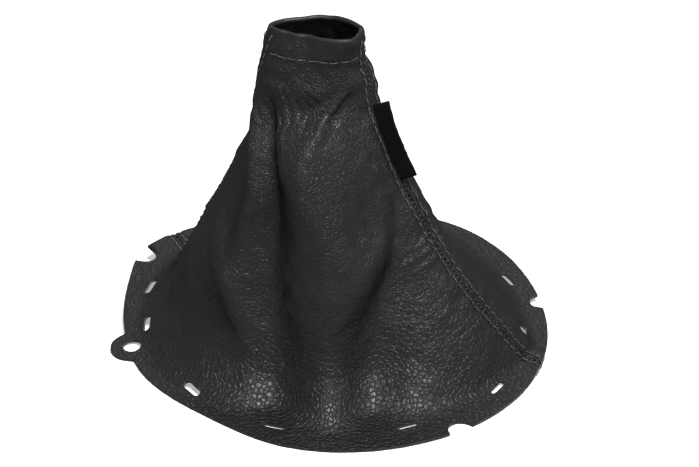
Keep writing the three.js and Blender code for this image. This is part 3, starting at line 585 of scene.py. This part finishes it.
# Outlines of the holes, as points round them in order: a slot's straight sides with round ends,
# and the ear's circle.
def slotOutline(share, width):
    radius = width / 2
    straight = (slots["length"] - slots["width"]) / 2
    angle = np.linspace(-np.pi / 2, np.pi / 2, 60)
    near, far = angle + np.pi / 2, angle + 3 * np.pi / 2
    x = np.concatenate([[radius], radius * np.cos(near), radius * np.cos(far), [radius]])
    y = np.concatenate([[0], straight + radius * np.sin(near), -straight + radius * np.sin(far), [0]])
    run = runAlong(x, y)
    return np.interp(share * run[-1], run, x), np.interp(share * run[-1], run, y)


def circleOutline(share):
    return gaiter["earHole"] * np.cos(2 * np.pi * share), gaiter["earHole"] * np.sin(2 * np.pi * share)


# A slot's place, outline and the half sizes of the block of cells that goes for it
def slotHole(azimuth, share):
    narrow = slots["narrowFrom"] < azimuth < slots["narrowTo"]
    width = slots["width"] - (slots["narrowBy"] if narrow else 0)
    distance = float(plainRimRadius(np.array(azimuth))) - slots["inset"] * share
    half = (slots["width"] / 2 + slots["marginAcross"], slots["length"] / 2 + slots["marginAlong"])
    return azimuth, distance, lambda share: slotOutline(share, width), half


holes = [slotHole(*place) for place in slots["places"]]
holes.append((gaiter["earAzimuth"], earDistance, circleOutline, (gaiter["earHole"] + 2,) * 2))


# Opens a hole in the grid: the cells round it go, and rings of quads lead from the block's own
# edge to the hole's outline. Returns the rings' places, the block and its edge.
def openHole(panel, u, t, plan, azimuth, distance, outline, half):
    turn = np.radians(azimuth)
    local = plan @ np.array([[np.cos(turn), -np.sin(turn)], [np.sin(turn), np.cos(turn)]])
    x, y = local[..., 0] - distance, local[..., 1]
    row, column = np.unravel_index(np.argmin(x * x + y * y), x.shape)
    outwards = row - np.argmax(x[row::-1, column] > half[0])
    inwards = row + np.argmax(x[row:, column] < -half[0])
    one = column - np.argmax(np.abs(y[row, column::-1]) > half[1])
    other = column + np.argmax(np.abs(y[row, column:]) > half[1])
    across, down = np.arange(one, other + 1), np.arange(outwards, inwards + 1)
    edgeRows = np.concatenate([np.full(len(across) - 1, outwards), down[:-1],
                               np.full(len(across) - 1, inwards), down[:0:-1]])
    edgeColumns = np.concatenate([across[:-1], np.full(len(down) - 1, other),
                                  across[:0:-1], np.full(len(down) - 1, one)])
    edgeX, edgeY = x[edgeRows, edgeColumns], y[edgeRows, edgeColumns]
    steps = np.hypot(np.diff(edgeX, append=edgeX[0]), np.diff(edgeY, append=edgeY[0]))
    run = np.concatenate([[0], np.cumsum(steps)])
    flip = 1 if y[row, other] > y[row, one] else -1
    start = np.interp(0, flip * edgeY[:len(across)], run[:len(across)])
    share = np.mod((run[:-1] - start) / run[-1], 1)
    holeX, holeY = outline(share)
    holeY = holeY * flip
    planHole = np.stack([(distance + holeX) * np.cos(turn) - holeY * np.sin(turn),
                         (distance + holeX) * np.sin(turn) + holeY * np.cos(turn)], -1)
    edge = (edgeRows, edgeColumns)
    holeU, holeT = placeUnder(planHole, u[edge], t[edge])
    k = np.array(mesh["holeRings"])[:, None]
    return holeU * (1 - k) + u[edge] * k, holeT * (1 - k) + t[edge] * k, (outwards, inwards, one, other), edge


# A sheet of leather as one closed shell: outer and inner side and the edge between them.
def buildPanel(panel):
    rowT, over = panelRows(panel)
    lengths, turns, sides = panelColumns(panel, rowT)
    u = uAtLength(panel, rowT[:, None], lengths)
    t = np.broadcast_to(rowT[:, None], u.shape).copy()
    for notch in notches:
        u, t = cutNotch(panel, u, t, *notch)
    rows, columns = u.shape
    index = np.arange(rows * columns).reshape(rows, columns)
    keep = np.ones((rows - 1, columns - 1), bool)
    fromTop = (1 - rowT) * panel["rimSlope"]
    hemRow = (fromTop < leather["hemTurnIn"] + 1) | (over > 0)
    turned = turns > np.pi / 2 + 0.01
    keep[np.ix_(hemRow[1:], turned[:-1] | turned[1:])] = False
    low = slice(mesh["holeRows"])
    plan = formPoint(u[low], t[low])[..., :2]
    allU, allT = [u.ravel()], [t.ravel()]
    quads = []
    count = rows * columns
    for azimuth, distance, outline, half in holes:
        if not panel["start"] < uOfRim(azimuth) < panel["end"]:
            continue
        ringU, ringT, block, edge = openHole(panel, u, t, plan, azimuth, distance, outline, half)
        keep[block[0]:block[1], block[2]:block[3]] = False
        new = count + np.arange(ringU.size).reshape(ringU.shape)
        loops = np.concatenate([new, index[edge][None]])
        inside, outside = loops[:-1], loops[1:]
        nextIn, nextOut = np.roll(inside, -1, 1), np.roll(outside, -1, 1)
        quads.append(np.stack([outside, nextOut, nextIn, inside], -1).reshape(-1, 4))
        allU.append(ringU.ravel())
        allT.append(ringT.ravel())
        count += ringU.size
    cells = np.stack([index[:-1, :-1], index[:-1, 1:], index[1:, 1:], index[1:, :-1]], -1)
    quads.append(cells[keep])
    quads = np.concatenate(quads)
    extra = count - rows * columns
    over = np.concatenate([np.repeat(over, columns), np.zeros(extra)])
    turn = np.concatenate([np.tile(turns, rows), np.zeros(extra)])
    side = np.concatenate([np.tile(sides, rows), np.zeros(extra)])
    outer, inner = sheetSides(panel, np.concatenate(allU), np.concatenate(allT), over, turn, side)
    used = np.unique(quads)
    renumber = np.full(count, -1)
    renumber[used] = np.arange(len(used))
    return outer[used], inner[used], renumber[quads]


# Both sides of the sheet: its middle runs round fold centres that lie under the grain, over the
# rim by one angle and under at the seam by another.
def sheetSides(panel, u, t, over, turn, side):
    point, normal, around, rising = grainFrame(panel, u, t)
    up = unit(np.cross(normal, around))
    beside = unit(np.cross(rising, normal)) * side[:, None]
    radius, half = leather["foldRadius"], leather["thickness"] / 2
    flat = smoothStep(over, 1.0, np.pi)[:, None] * 0.85
    outward = normal * np.cos(over)[:, None] + up * np.sin(over)[:, None]
    bent = turn[:, None] * (1 - flat)
    direction = outward * np.cos(bent) + beside * np.sin(bent)
    centre = point - normal * (radius + half)
    centre = centre + beside * flat * (radius + half) * np.minimum(turn[:, None] / (np.pi / 2), 1)
    outer = centre + direction * (radius + half)
    inner = centre + direction * (radius - half)
    outer[:, 2] = np.maximum(outer[:, 2], 0.02)
    inner[:, 2] = np.maximum(inner[:, 2], 0)
    return outer, inner


# Puts numpy points, in millimetres, and faces into a new object that lies at the origin.
def newPiece(name, points, faces, materials, faceMaterials=None, sharpEdges=None, uv=None):
    data = bpy.data.meshes.new(name)
    sizes = np.array([len(face) for face in faces])
    corners = np.concatenate([np.ravel(face) for face in faces] if isinstance(faces, list) else faces)
    data.vertices.add(len(points))
    data.vertices.foreach_set("co", ((points - baseMiddle) / 1000).astype(np.float32).ravel())
    data.loops.add(len(corners))
    data.loops.foreach_set("vertex_index", corners.astype(np.int32))
    data.polygons.add(len(sizes))
    data.polygons.foreach_set("loop_start", np.concatenate([[0], np.cumsum(sizes)[:-1]]).astype(np.int32))
    if faceMaterials is not None:
        data.polygons.foreach_set("material_index", np.asarray(faceMaterials, np.int32))
    data.polygons.foreach_set("use_smooth", np.full(len(sizes), True))
    data.update(calc_edges=True)
    data.validate()
    for material in materials:
        data.materials.append(material)
    if sharpEdges is not None:
        pairs = np.zeros(2 * len(data.edges), np.int32)
        data.edges.foreach_get("vertices", pairs)
        pairs = np.sort(pairs.reshape(-1, 2), 1).astype(np.int64)
        keys = np.sort(sharpEdges, 1).astype(np.int64)
        scale = np.array([len(points), 1])
        sharp = np.isin(pairs @ scale, keys @ scale)
        data.attributes.new("sharp_edge", "BOOLEAN", "EDGE").data.foreach_set("value", sharp)
    if uv is not None:
        data.uv_layers.new(name="UVMap").data.foreach_set("uv", uv[corners].astype(np.float32).ravel())
    piece = bpy.data.objects.new(name, data)
    bpy.context.scene.collection.objects.link(piece)
    return piece


# Edges that only one face uses, in that face's own direction.
def openEdges(quads, count):
    edges = np.concatenate([quads[:, [k, (k + 1) % 4]] for k in range(4)])
    low, high = np.sort(edges, 1).T
    _, first, uses = np.unique(low * count + high, return_index=True, return_counts=True)
    return edges[first[uses == 1]]


def leatherPiece(panel, materials):
    outer, inner, quads = buildPanel(panel)
    count = len(outer)
    open_ = openEdges(quads, count)
    a, b = open_.T
    rim = np.stack([b, a, a + count, b + count], -1)
    faces = np.concatenate([quads, quads[:, ::-1] + count, rim])
    kinds = np.repeat([0, 1, 2], [len(quads), len(quads), len(rim)])
    sharp = np.concatenate([open_, open_ + count])
    points = np.concatenate([outer, inner])
    piece = newPiece(panel["name"] + "_leather", points, faces, materials, kinds, sharp)
    print(piece.name, "triangles", 2 * len(faces))
    return piece


# Materials. addNode sets plain values on a node's sockets and links other nodes' outputs.
def addNode(tree, kind, inputs=None, **settings):
    node = tree.nodes.new("ShaderNode" + kind)
    for key, value in settings.items():
        setattr(node, key, value)
    for key, value in (inputs or {}).items():
        if isinstance(value, bpy.types.NodeSocket):
            tree.links.new(value, node.inputs[key])
        else:
            node.inputs[key].default_value = value
    return node


def startMaterial(name, **values):
    material = bpy.data.materials.new(name)
    material.use_nodes = True
    tree = material.node_tree
    shader = tree.nodes["Principled BSDF"]
    for key, value in values.items():
        shader.inputs[key].default_value = value
    return material, tree, shader


# A gloss over the shader, as strong at every angle. It takes the shader's roughness and bump.
def addGloss(tree, shader, share, colour):
    gloss = addNode(tree, "BsdfGlossy", {"Color": colour})
    for key in ("Roughness", "Normal"):
        if shader.inputs[key].is_linked:
            tree.links.new(shader.inputs[key].links[0].from_socket, gloss.inputs[key])
    if not shader.inputs["Roughness"].is_linked:
        gloss.inputs["Roughness"].default_value = shader.inputs["Roughness"].default_value
    mixed = addNode(tree, "MixShader", {0: share, 1: shader.outputs[0], 2: gloss.outputs[0]})
    tree.links.new(mixed.outputs[0], tree.nodes["Material Output"].inputs["Surface"])


def mapRange(tree, value, low, high, newLow, newHigh, kind="SMOOTHSTEP"):
    return addNode(tree, "MapRange", {"Value": value, "From Min": low, "From Max": high, "To Min": newLow,
                                      "To Max": newHigh}, interpolation_type=kind).outputs["Result"]


def mathNode(tree, operation, *values):
    return addNode(tree, "Math", dict(enumerate(values)), operation=operation).outputs[0]


def mixColours(tree, factor, first, second):
    return addNode(tree, "Mix", {0: factor, 6: first, 7: second}, data_type="RGBA").outputs[2]


# A sum or difference by a second vector, or a product by a scale.
def vectorNode(tree, operation, first, **second):
    inputs = {0: first, **{1 if key == "by" else "Scale": value for key, value in second.items()}}
    return addNode(tree, "VectorMath", inputs, operation=operation).outputs[0]


def noiseNode(tree, place, scale, detail, output="Fac", **more):
    inputs = {"Vector": place, "Scale": scale, "Detail": detail, **more}
    return addNode(tree, "TexNoise", inputs).outputs[output]


# Gives the shader a colour, and a bump from a height of 0 to 1.
def finishLook(tree, shader, colour, height, distance, strength):
    tree.links.new(colour, shader.inputs["Base Color"])
    bump = addNode(tree, "Bump", {"Height": height, "Distance": distance, "Strength": strength})
    tree.links.new(bump.outputs["Normal"], shader.inputs["Normal"])


# The grain's colours: its grooves are painted darker than its tops, as painted shade in the creases between
# pebbles.
grain = {
    "cell": 0.0022, "fineCell": 0.0013, "wobble": 0.0011, "height": 0.0003,
    "top": (0.0075, 0.0071, 0.0067, 1), "groove": (0.0025, 0.0024, 0.0023, 1),
    "roughTop": 0.33, "roughGroove": 0.6, "gloss": 0.0155, "glossColour": (1, 0.98, 0.96, 1),
    "driftScale": 260, "broadScale": 32, "fineScale": 2600, "rimStart": 0.1495, "rimEnd": 0.153,
}


# Pebbles with creases between them: flat tops that round off at each cell's edge, a little higher
# in the middle.
def pebbleHeight(tree, place, cell):
    edges = addNode(tree, "TexVoronoi", {"Vector": place, "Scale": 1 / cell}, feature="DISTANCE_TO_EDGE")
    middles = addNode(tree, "TexVoronoi", {"Vector": place, "Scale": 1 / cell}, feature="F1")
    plateau = mapRange(tree, edges.outputs["Distance"], 0, 0.2, 0, 1)
    dome = mapRange(tree, middles.outputs["Distance"], 0, 0.85, 1, 0, "LINEAR")
    return mathNode(tree, "MULTIPLY_ADD", dome, 0.3, mathNode(tree, "MULTIPLY", plateau, 0.7))


def leatherMaterial():
    material, tree, shader = startMaterial("pebbled_black_leather", **{"Specular IOR Level": 0.0})
    place = addNode(tree, "TexCoord").outputs["Object"]
    drift = noiseNode(tree, place, grain["driftScale"], 2, "Color")
    drift = vectorNode(tree, "SUBTRACT", drift, by=(0.5, 0.5, 0.5))
    drift = vectorNode(tree, "SCALE", drift, scale=grain["wobble"])
    moved = vectorNode(tree, "ADD", place, by=drift)
    large = pebbleHeight(tree, moved, grain["cell"])
    small = pebbleHeight(tree, moved, grain["fineCell"])
    broad = noiseNode(tree, place, grain["broadScale"], 3)
    spread = addNode(tree, "SeparateXYZ", {0: place}).outputs["Z"]
    share = mapRange(tree, mathNode(tree, "MULTIPLY_ADD", broad, 0.06, spread), 0.04, 0.15, 0.15, 0.8)
    pebbles = addNode(tree, "Mix", {0: share, 2: large, 3: small}, data_type="FLOAT").outputs[0]
    fine = noiseNode(tree, place, grain["fineScale"], 3)
    height = mathNode(tree, "MULTIPLY_ADD", fine, 0.1, mathNode(tree, "MULTIPLY", pebbles, 0.9))
    smoothed = mapRange(tree, spread, grain["rimStart"], grain["rimEnd"], 1, 0.25)  # over the rim
    # Painted shade: the creases between pebbles get the darker groove colour and the pebble tops the lighter
    # one.
    colour = mixColours(tree, mapRange(tree, pebbles, 0.15, 0.6, 0, 1), grain["groove"], grain["top"])
    shade = mapRange(tree, broad, 0.3, 0.7, 0.8, 1.15, "LINEAR")
    colour = vectorNode(tree, "SCALE", colour, scale=shade)
    finishLook(tree, shader, colour, height, grain["height"], smoothed)
    rough = mapRange(tree, height, 0.15, 0.75, grain["roughGroove"], grain["roughTop"], "LINEAR")
    rough = mathNode(tree, "MULTIPLY_ADD", broad, 0.12, mathNode(tree, "SUBTRACT", rough, 0.06))
    tree.links.new(rough, shader.inputs["Roughness"])
    addGloss(tree, shader, grain["gloss"], grain["glossColour"])
    return material


suede = {
    "dark": (0.012, 0.0105, 0.0095, 1), "light": (0.035, 0.031, 0.028, 1), "scale": 900,
    "rough": 0.95, "sheen": 0.5, "height": 0.0003,
}
rawEdge = {
    "dark": (0.02, 0.019, 0.018, 1), "light": (0.075, 0.07, 0.066, 1), "scale": 1600,
    "rough": 0.9, "sheen": 0.2, "height": 0.0002,
}


# Loose fibres: the leather's back and its cut edges.
def fibreMaterial(name, dark, light, scale, rough, sheen, height):
    material, tree, shader = startMaterial(name, Roughness=rough, **{
        "Sheen Weight": sheen, "Sheen Roughness": 0.5, "Specular IOR Level": 0.2})
    place = addNode(tree, "TexCoord").outputs["Object"]
    fibres = noiseNode(tree, place, scale, 6, Roughness=0.7, Distortion=1.2)
    colour = mixColours(tree, mapRange(tree, fibres, 0.3, 0.7, 0, 1), dark, light)
    finishLook(tree, shader, colour, fibres, height, 1.0)
    return material


cord = {"dark": (0.04, 0.038, 0.036, 1), "light": (0.14, 0.133, 0.127, 1), "height": 0.00012}
tape = {
    "dark": (0.002, 0.002, 0.0021, 1), "light": (0.006, 0.006, 0.0062, 1), "height": 0.00008,
    "gloss": 0.004,
}


def threadMaterial():
    material, tree, shader = startMaterial("charcoal_thread", Roughness=0.62, **{
        "Sheen Weight": 0.2, "Sheen Roughness": 0.4, "Specular IOR Level": 0.2})
    uv = addNode(tree, "TexCoord").outputs["UV"]
    twist = addNode(tree, "Mapping", {"Vector": uv, "Rotation": (0, 0, 0.6), "Scale": (1, 1, 1)}).outputs[0]
    plies = addNode(tree, "TexWave", {"Vector": twist, "Scale": 1.1, "Distortion": 0.6, "Detail": 1},
                    wave_type="BANDS", bands_direction="X").outputs["Fac"]
    both = mathNode(tree, "MULTIPLY_ADD", noiseNode(tree, uv, 9, 3), 0.35, plies)
    colour = mixColours(tree, both, cord["dark"], cord["light"])
    finishLook(tree, shader, colour, both, cord["height"], 0.9)
    return material


def ribbonMaterial():
    material, tree, shader = startMaterial("black_satin_tape", Roughness=0.5, **{"Specular IOR Level": 0.0})
    uv = addNode(tree, "TexCoord").outputs["UV"]
    warp = addNode(tree, "TexWave", {"Vector": uv, "Scale": 1.6, "Distortion": 0.3}, wave_type="BANDS",
                   bands_direction="X").outputs["Fac"]
    weft = addNode(tree, "TexWave", {"Vector": uv, "Scale": 0.9, "Distortion": 0.3}, wave_type="BANDS",
                   bands_direction="Y").outputs["Fac"]
    weave = mathNode(tree, "MULTIPLY_ADD", warp, 0.6, mathNode(tree, "MULTIPLY", weft, 0.5))
    colour = mixColours(tree, weave, tape["dark"], tape["light"])
    finishLook(tree, shader, colour, weave, tape["height"], 0.6)
    addGloss(tree, shader, tape["gloss"], (1, 1, 1, 1))
    return material


grainSide = leatherMaterial()
fleshSide = fibreMaterial("flesh_side_suede", **suede)
cutEdge = fibreMaterial("cut_leather_edge", **rawEdge)
thread = threadMaterial()
ribbon = ribbonMaterial()
print("materials made")

leatherSides = [grainSide, fleshSide, cutEdge]
for panel in (frontPanel, rearPanel):
    piece = leatherPiece(panel, leatherSides)
    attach(piece, "root")
    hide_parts(panel["name"])
print("panels made")

stitch = {
    "radius": 0.21, "rise": 0.2, "dip": 0.6, "rings": 9, "sides": 8, "fill": 0.93,
    "arch": 3.2, "stray": 0.08, "lean": 0.09,
}


# Stitches along a line: tubes carried along arched paths, from arrays of centre, upward normal
# and run direction with one row for each stitch. Ends close on a point.
def stitchTubes(centres, ups, aheads, radius):
    count, stations = centres.shape[:2]
    sides = stitch["sides"]
    beside = unit(np.cross(aheads, ups))
    up = unit(np.cross(beside, aheads))
    place = np.linspace(0, 1, stations)
    thick = radius * (0.55 + 0.45 * np.sin(np.pi * place) ** 0.4)
    angle = 2 * np.pi * np.arange(sides) / sides
    ringOut = beside[:, :, None] * np.cos(angle)[:, None] + up[:, :, None] * np.sin(angle)[:, None]
    tube = centres[:, :, None] + ringOut * thick[:, None, None]
    ends = centres[:, [0, -1]] + aheads[:, [0, -1]] * radius * np.array([-0.5, 0.5])[:, None]
    points = np.concatenate([tube.reshape(count, -1, 3), ends], 1)
    size = points.shape[1]
    k = np.arange(sides)
    nextK = (k + 1) % sides
    i = np.arange(stations - 1)[:, None] * sides
    quads = np.stack([i + k, i + nextK, i + sides + nextK, i + sides + k], -1).reshape(-1, 4)
    last = (stations - 1) * sides
    fans = np.concatenate([np.stack([nextK, k, np.full(sides, stations * sides)], -1),
                           np.stack([last + k, last + nextK, np.full(sides, stations * sides + 1)], -1)])
    shift = np.arange(count)[:, None, None] * size
    quads = (quads[None] + shift).reshape(-1, 4)
    fans = (fans[None] + shift).reshape(-1, 3)
    uvAlong = np.repeat(place * 6, sides)
    uvRound = np.tile(k / sides * 2, stations)
    uv = np.concatenate([np.stack([uvAlong, uvRound], -1), [[0, 0], [6, 0]]])
    return points.reshape(-1, 3), list(quads) + list(fans), np.tile(uv, (count, 1))


# The plain form's normal, which is the same from both sides of a seam.
def plainNormal(u, t, reach=1e-3):
    around = formPoint(u + reach, t) - formPoint(u - reach, t)
    return unit(np.cross(around, formPoint(u, np.minimum(t + reach, 1)) - formPoint(u, t - reach)))


# Samples a line on a panel. Returns a function that reads it by length, and its whole length.
def measuredLine(panel, u, t, seam=False):
    point, normal, _, _ = grainFrame(panel, u, t)
    normal = plainNormal(u, t) if seam else normal
    run = np.concatenate([[0], np.cumsum(np.linalg.norm(np.diff(point, axis=0), axis=1))])
    def at(length):
        read = lambda values: np.stack([np.interp(length, run, values[:, k]) for k in range(3)], -1)
        return read(point), unit(read(normal))
    return at, run[-1]


def stitchRow(name, panel, u, t, replaced, seed):
    at, total = measuredLine(panel, u, t)
    draw = np.random.default_rng(seed)
    count = max(1, round(total / sewing["pitch"]))
    pitch = total / count
    place = np.linspace(-0.5, 0.5, stitch["rings"]) * stitch["fill"]
    middles = (np.arange(count) + 0.5) * pitch + draw.normal(0, stitch["stray"], count)
    length = np.clip(middles[:, None] + place[None] * pitch, 0.05, total - 0.05)
    points, normals = at(length)
    sink = (stitch["rise"] + stitch["dip"]) * np.abs(2 * place / stitch["fill"]) ** stitch["arch"]
    lift = stitch["radius"] + stitch["rise"] - sink
    aheads = unit(np.gradient(points, axis=1))
    lean = draw.normal(0, stitch["lean"], (count, 1, 1)) * place[None, :, None]
    points = points + normals * lift[None, :, None] + np.cross(aheads, normals) * lean * pitch
    aheads = unit(np.gradient(points, axis=1))
    solid, faces, uv = stitchTubes(points, normals, aheads, stitch["radius"])
    piece = newPiece(name, solid, faces, [thread], uv=uv)
    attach(piece, "root")
    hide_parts(replaced)


def seamLine(panel, atEnd, away, low, high, samples=420):
    t = np.linspace(low, high, samples)
    total = np.interp(t, panel["ts"], panel["lengths"][:, -1])
    length = total - away if atEnd else np.full_like(t, away)
    return uAtLength(panel, t[:, None], length[:, None])[:, 0], t


def hemLine(panel, samples=300):
    t = 1 - leather["hemHeight"] / panel["rimSlope"]
    total = float(np.interp(t, panel["ts"], panel["lengths"][:, -1]))
    margin = leather["topstitch"] + sewing["endMargin"]
    u = uAtLength(panel, np.array([[t]]), np.linspace(margin, total - margin, samples)[None])[0]
    return u, np.full(samples, t)


seamRows = [
    ("right_seam_front_topstitch", frontPanel, True), ("right_seam_rear_topstitch", rearPanel, False),
    ("left_seam_front_topstitch", frontPanel, False), ("left_seam_rear_topstitch", rearPanel, True),
]
lowEnd = sewing["endMargin"] / gaiter["height"]
for seed, (name, panel, atEnd) in enumerate(seamRows):
    u, t = seamLine(panel, atEnd, leather["topstitch"], lowEnd, 1 - 3 / panel["rimSlope"])
    stitchRow(name + "_stitches", panel, u, t, name, 60 + seed)
for seed, (name, panel) in enumerate((("front_hem_stitch", frontPanel), ("rear_hem_stitch", rearPanel))):
    u, t = hemLine(panel)
    stitchRow(name + "es", panel, u, t, name, 70 + seed)
print("stitches sewn")


# The seam's own stitches: crossings that show as dots in the join, and stitches inside it
join = {
    "low": 0.02, "below": 15, "rings": 7, "radius": 0.24, "reach": 0.95, "slant": 0.35, "slantSpread": 0.1,
    "depth": 0.75, "curve": 0.5, "innerLow": 0.2, "innerBelow": 17, "innerRings": 9, "innerRadius": 0.3,
    "innerFill": 0.46, "innerDepth": 2.75, "innerCurve": 0.35,
}


# Crossings at every half pitch and inner stitches at every pitch, down one seam.
def joinStitches(name, panel, u, replaced, seed):
    draw = np.random.default_rng(seed)
    t = np.linspace(join["low"], 1 - join["below"] / panel["rimSlope"], 500)
    at, total = measuredLine(panel, np.full_like(t, u), t, True)
    count = int(total / (sewing["pitch"] / 2))
    middles = (np.arange(count) + 0.5) * total / count
    points, normals = at(middles)
    ahead = unit(np.gradient(points, axis=0))
    beside = np.cross(ahead, normals)
    place = np.linspace(-1, 1, join["rings"])
    slant = draw.normal(join["slant"], join["slantSpread"], (count, 1, 1))
    path = points[:, None] + beside[:, None] * place[None, :, None] * join["reach"]
    path = path + ahead[:, None] * slant * place[None, :, None]
    path = path - normals[:, None] * (join["depth"] + join["curve"] * np.abs(place) ** 2)[None, :, None]
    ups = np.repeat(normals[:, None], join["rings"], 1)
    solid, faces, uv = stitchTubes(path, ups, unit(np.gradient(path, axis=1)), join["radius"])
    inside = np.linspace(join["innerLow"], 1 - join["innerBelow"] / panel["rimSlope"], 400)
    at, total = measuredLine(panel, np.full_like(inside, u), inside, True)
    count = int(total / sewing["pitch"])
    place = np.linspace(-1, 1, join["innerRings"])
    run = (np.arange(count) + 0.5)[:, None] * total / count + place[None] * join["innerFill"] * total / count
    points, normals = at(run)
    depth = join["innerDepth"] + join["innerCurve"] * (1 - np.abs(place) ** 3)
    path = points - normals * depth[None, :, None]
    ahead = unit(np.gradient(path, axis=1))
    more, moreFaces, moreUv = stitchTubes(path, -normals, ahead, join["innerRadius"])
    faces = faces + [face + len(solid) for face in moreFaces]
    piece = newPiece(name, np.concatenate([solid, more]), faces, [thread], uv=np.concatenate([uv, moreUv]))
    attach(piece, "root")
    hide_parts(replaced)


joinStitches("right_join_stitches", rearPanel, 0.0, "right_join_stitch", 81)
joinStitches("left_join_stitches", rearPanel, 1.0, "left_join_stitch", 82)
print("joins sewn")

tag = {
    "length": 36.5, "width": 7.6, "top": 0.852, "lean": 14, "layer": 0.5, "root": -0.9, "gap": 0.12,
    "sampledTo": 0.3, "rows": 44, "straightSteps": 16, "bend": 0.35, "wave": 0.1, "waveLength": 5.5,
}


# The tag: a tape folded on itself. Its profile runs out along one layer, round the fold and back,
# and is carried down the seam.
def tagPiece():
    t = np.linspace(tag["top"], tag["sampledTo"], 500)
    at, _ = measuredLine(rearPanel, np.zeros_like(t), t, True)
    start, end = at(np.array([0, tag["length"]]))[0]
    ahead = unit(end - start)
    normal = at(np.array([tag["length"] / 2]))[1][0]
    outward = unit(normal - ahead * (normal @ ahead))
    lean = np.radians(-tag["lean"])
    outward = outward * np.cos(lean) + np.cross(ahead, outward) * np.sin(lean)
    across = np.cross(ahead, outward)
    layer, gap = tag["layer"], tag["gap"]
    reach = tag["width"] - layer - gap / 2
    steps = tag["straightSteps"]
    straight = np.linspace(tag["root"], reach, steps)
    angle = np.linspace(np.pi / 2, -np.pi / 2, 11)[1:-1]
    def skin(offset):
        x = np.concatenate([straight, reach + offset * np.cos(angle), straight[::-1]])
        y = np.concatenate([np.full(steps, offset), offset * np.sin(angle), np.full(steps, -offset)])
        return x, y
    outX, outY = skin(gap / 2 + layer)
    inX, inY = skin(gap / 2)
    x = np.concatenate([outX, inX[::-1]])
    y = np.concatenate([outY, inY[::-1]])
    rows = tag["rows"]
    run = np.linspace(0, tag["length"], rows)
    base = at(run)[0]
    out = np.clip(x / tag["width"], 0, 1)[None]
    bend = np.sin(run / tag["length"] * np.pi * 1.3 + 0.4)[:, None] * out ** 1.5
    bend = bend * tag["bend"] + tag["wave"] * np.sin(run / tag["waveLength"])[:, None] * out ** 2
    points = base[:, None] + outward * x[None, :, None] + across * (y[None] + bend)[..., None]
    around = len(x)
    index = np.arange(rows * around).reshape(rows, around)
    nextIndex = np.roll(index, -1, 1)
    sideQuads = np.stack([index[:-1], nextIndex[:-1], nextIndex[1:], index[1:]], -1).reshape(-1, 4)
    half = len(outX)
    k = np.arange(half - 1)
    caps = []
    for row, flip in ((0, False), (rows - 1, True)):
        cap = index[row][np.stack([k, around - 1 - k, around - 2 - k, k + 1], -1)]
        caps.append(cap[:, ::-1] if flip else cap)
    faces = np.concatenate([sideQuads] + caps)
    profileRun = runAlong(x, y)
    uv = np.stack(np.broadcast_arrays(run[:, None], profileRun[None]), -1).reshape(-1, 2)
    piece = newPiece("label_tag_tape", points.reshape(-1, 3), faces, [ribbon], uv=uv)
    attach(piece, "root")
    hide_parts("label_tag")


tagPiece()
print("tag made")

studio = {
    "floorSize": 3.0, "floorColour": 0.62, "floorBounce": 0.1, "floorGlow": 0.42, "worldLight": 0.02,
    "key": {"at": (0.24, -0.34, 1.36), "size": 0.4, "power": 40},
    "fill": {"at": (1.2, -0.5, 0.9), "size": 0.8, "power": 1},
    "back": {"at": (0.1, 1.2, 0.9), "size": 0.9, "power": 7}, "aimedAt": (0, 0, 0.06),
}


def aim(thing, at, target):
    thing.location = at
    thing.rotation_euler = (Vector(target) - Vector(at)).to_track_quat("-Z", "Y").to_euler()


# 1 for the rays that show the backdrop: the camera's, and those of reflections and of glass.
def backdropRays(tree):
    rays = addNode(tree, "LightPath").outputs
    mirrored = mathNode(tree, "ADD", rays["Is Glossy Ray"], rays["Is Transmission Ray"])
    return mathNode(tree, "MINIMUM", mathNode(tree, "ADD", rays["Is Camera Ray"], mirrored), 1)


def makeStudio():
    half = studio["floorSize"] / 2
    data = bpy.data.meshes.new("studio_floor")
    corners = [(-half, -half, 0), (half, -half, 0), (half, half, 0), (-half, half, 0)]
    data.from_pydata(corners, [], [(0, 1, 2, 3)])
    floor = bpy.data.objects.new("studio_floor", data)
    bpy.context.scene.collection.objects.link(floor)
    material, tree, shader = startMaterial("white_floor", Roughness=0.9, **{"Specular IOR Level": 0.1})
    bounce, shown = ((*[studio[key]] * 3, 1) for key in ("floorBounce", "floorColour"))
    seen = backdropRays(tree)
    tree.links.new(mixColours(tree, seen, bounce, shown), shader.inputs["Base Color"])
    glow = mathNode(tree, "MULTIPLY", seen, studio["floorGlow"])
    shader.inputs["Emission Color"].default_value = (1, 1, 1, 1)
    tree.links.new(glow, shader.inputs["Emission Strength"])
    data.materials.append(material)
    for name in ("key", "fill", "back"):
        lamp = bpy.data.lights.new(name + "_light", "AREA")
        lamp.shape = "SQUARE"
        lamp.size = studio[name]["size"]
        lamp.energy = studio[name]["power"]
        holder = bpy.data.objects.new(name + "_light", lamp)
        bpy.context.scene.collection.objects.link(holder)
        aim(holder, studio[name]["at"], studio["aimedAt"])
    world = bpy.data.worlds.new("studio_world")
    bpy.context.scene.world = world
    world.use_nodes = True
    tree = world.node_tree
    strength = mapRange(tree, backdropRays(tree), 0, 1, studio["worldLight"], 1.0, "LINEAR")
    background = tree.nodes["Background"]
    background.inputs["Color"].default_value = (1, 1, 1, 1)
    tree.links.new(strength, background.inputs["Strength"])


view = {
    "at": (0.008857, -0.7871, 0.5031), "target": (0.008857, -0.007691, 0.0531), "lens": 101.18, "sensor": 36,
}
camera = bpy.data.objects.new("camera", bpy.data.cameras.new("camera"))
bpy.context.scene.collection.objects.link(camera)
camera.data.sensor_width = view["sensor"]
camera.data.lens = view["lens"]
aim(camera, view["at"], view["target"])
bpy.context.scene.camera = camera
makeStudio()
bpy.context.scene.view_settings.view_transform = "Standard"
print("studio set")
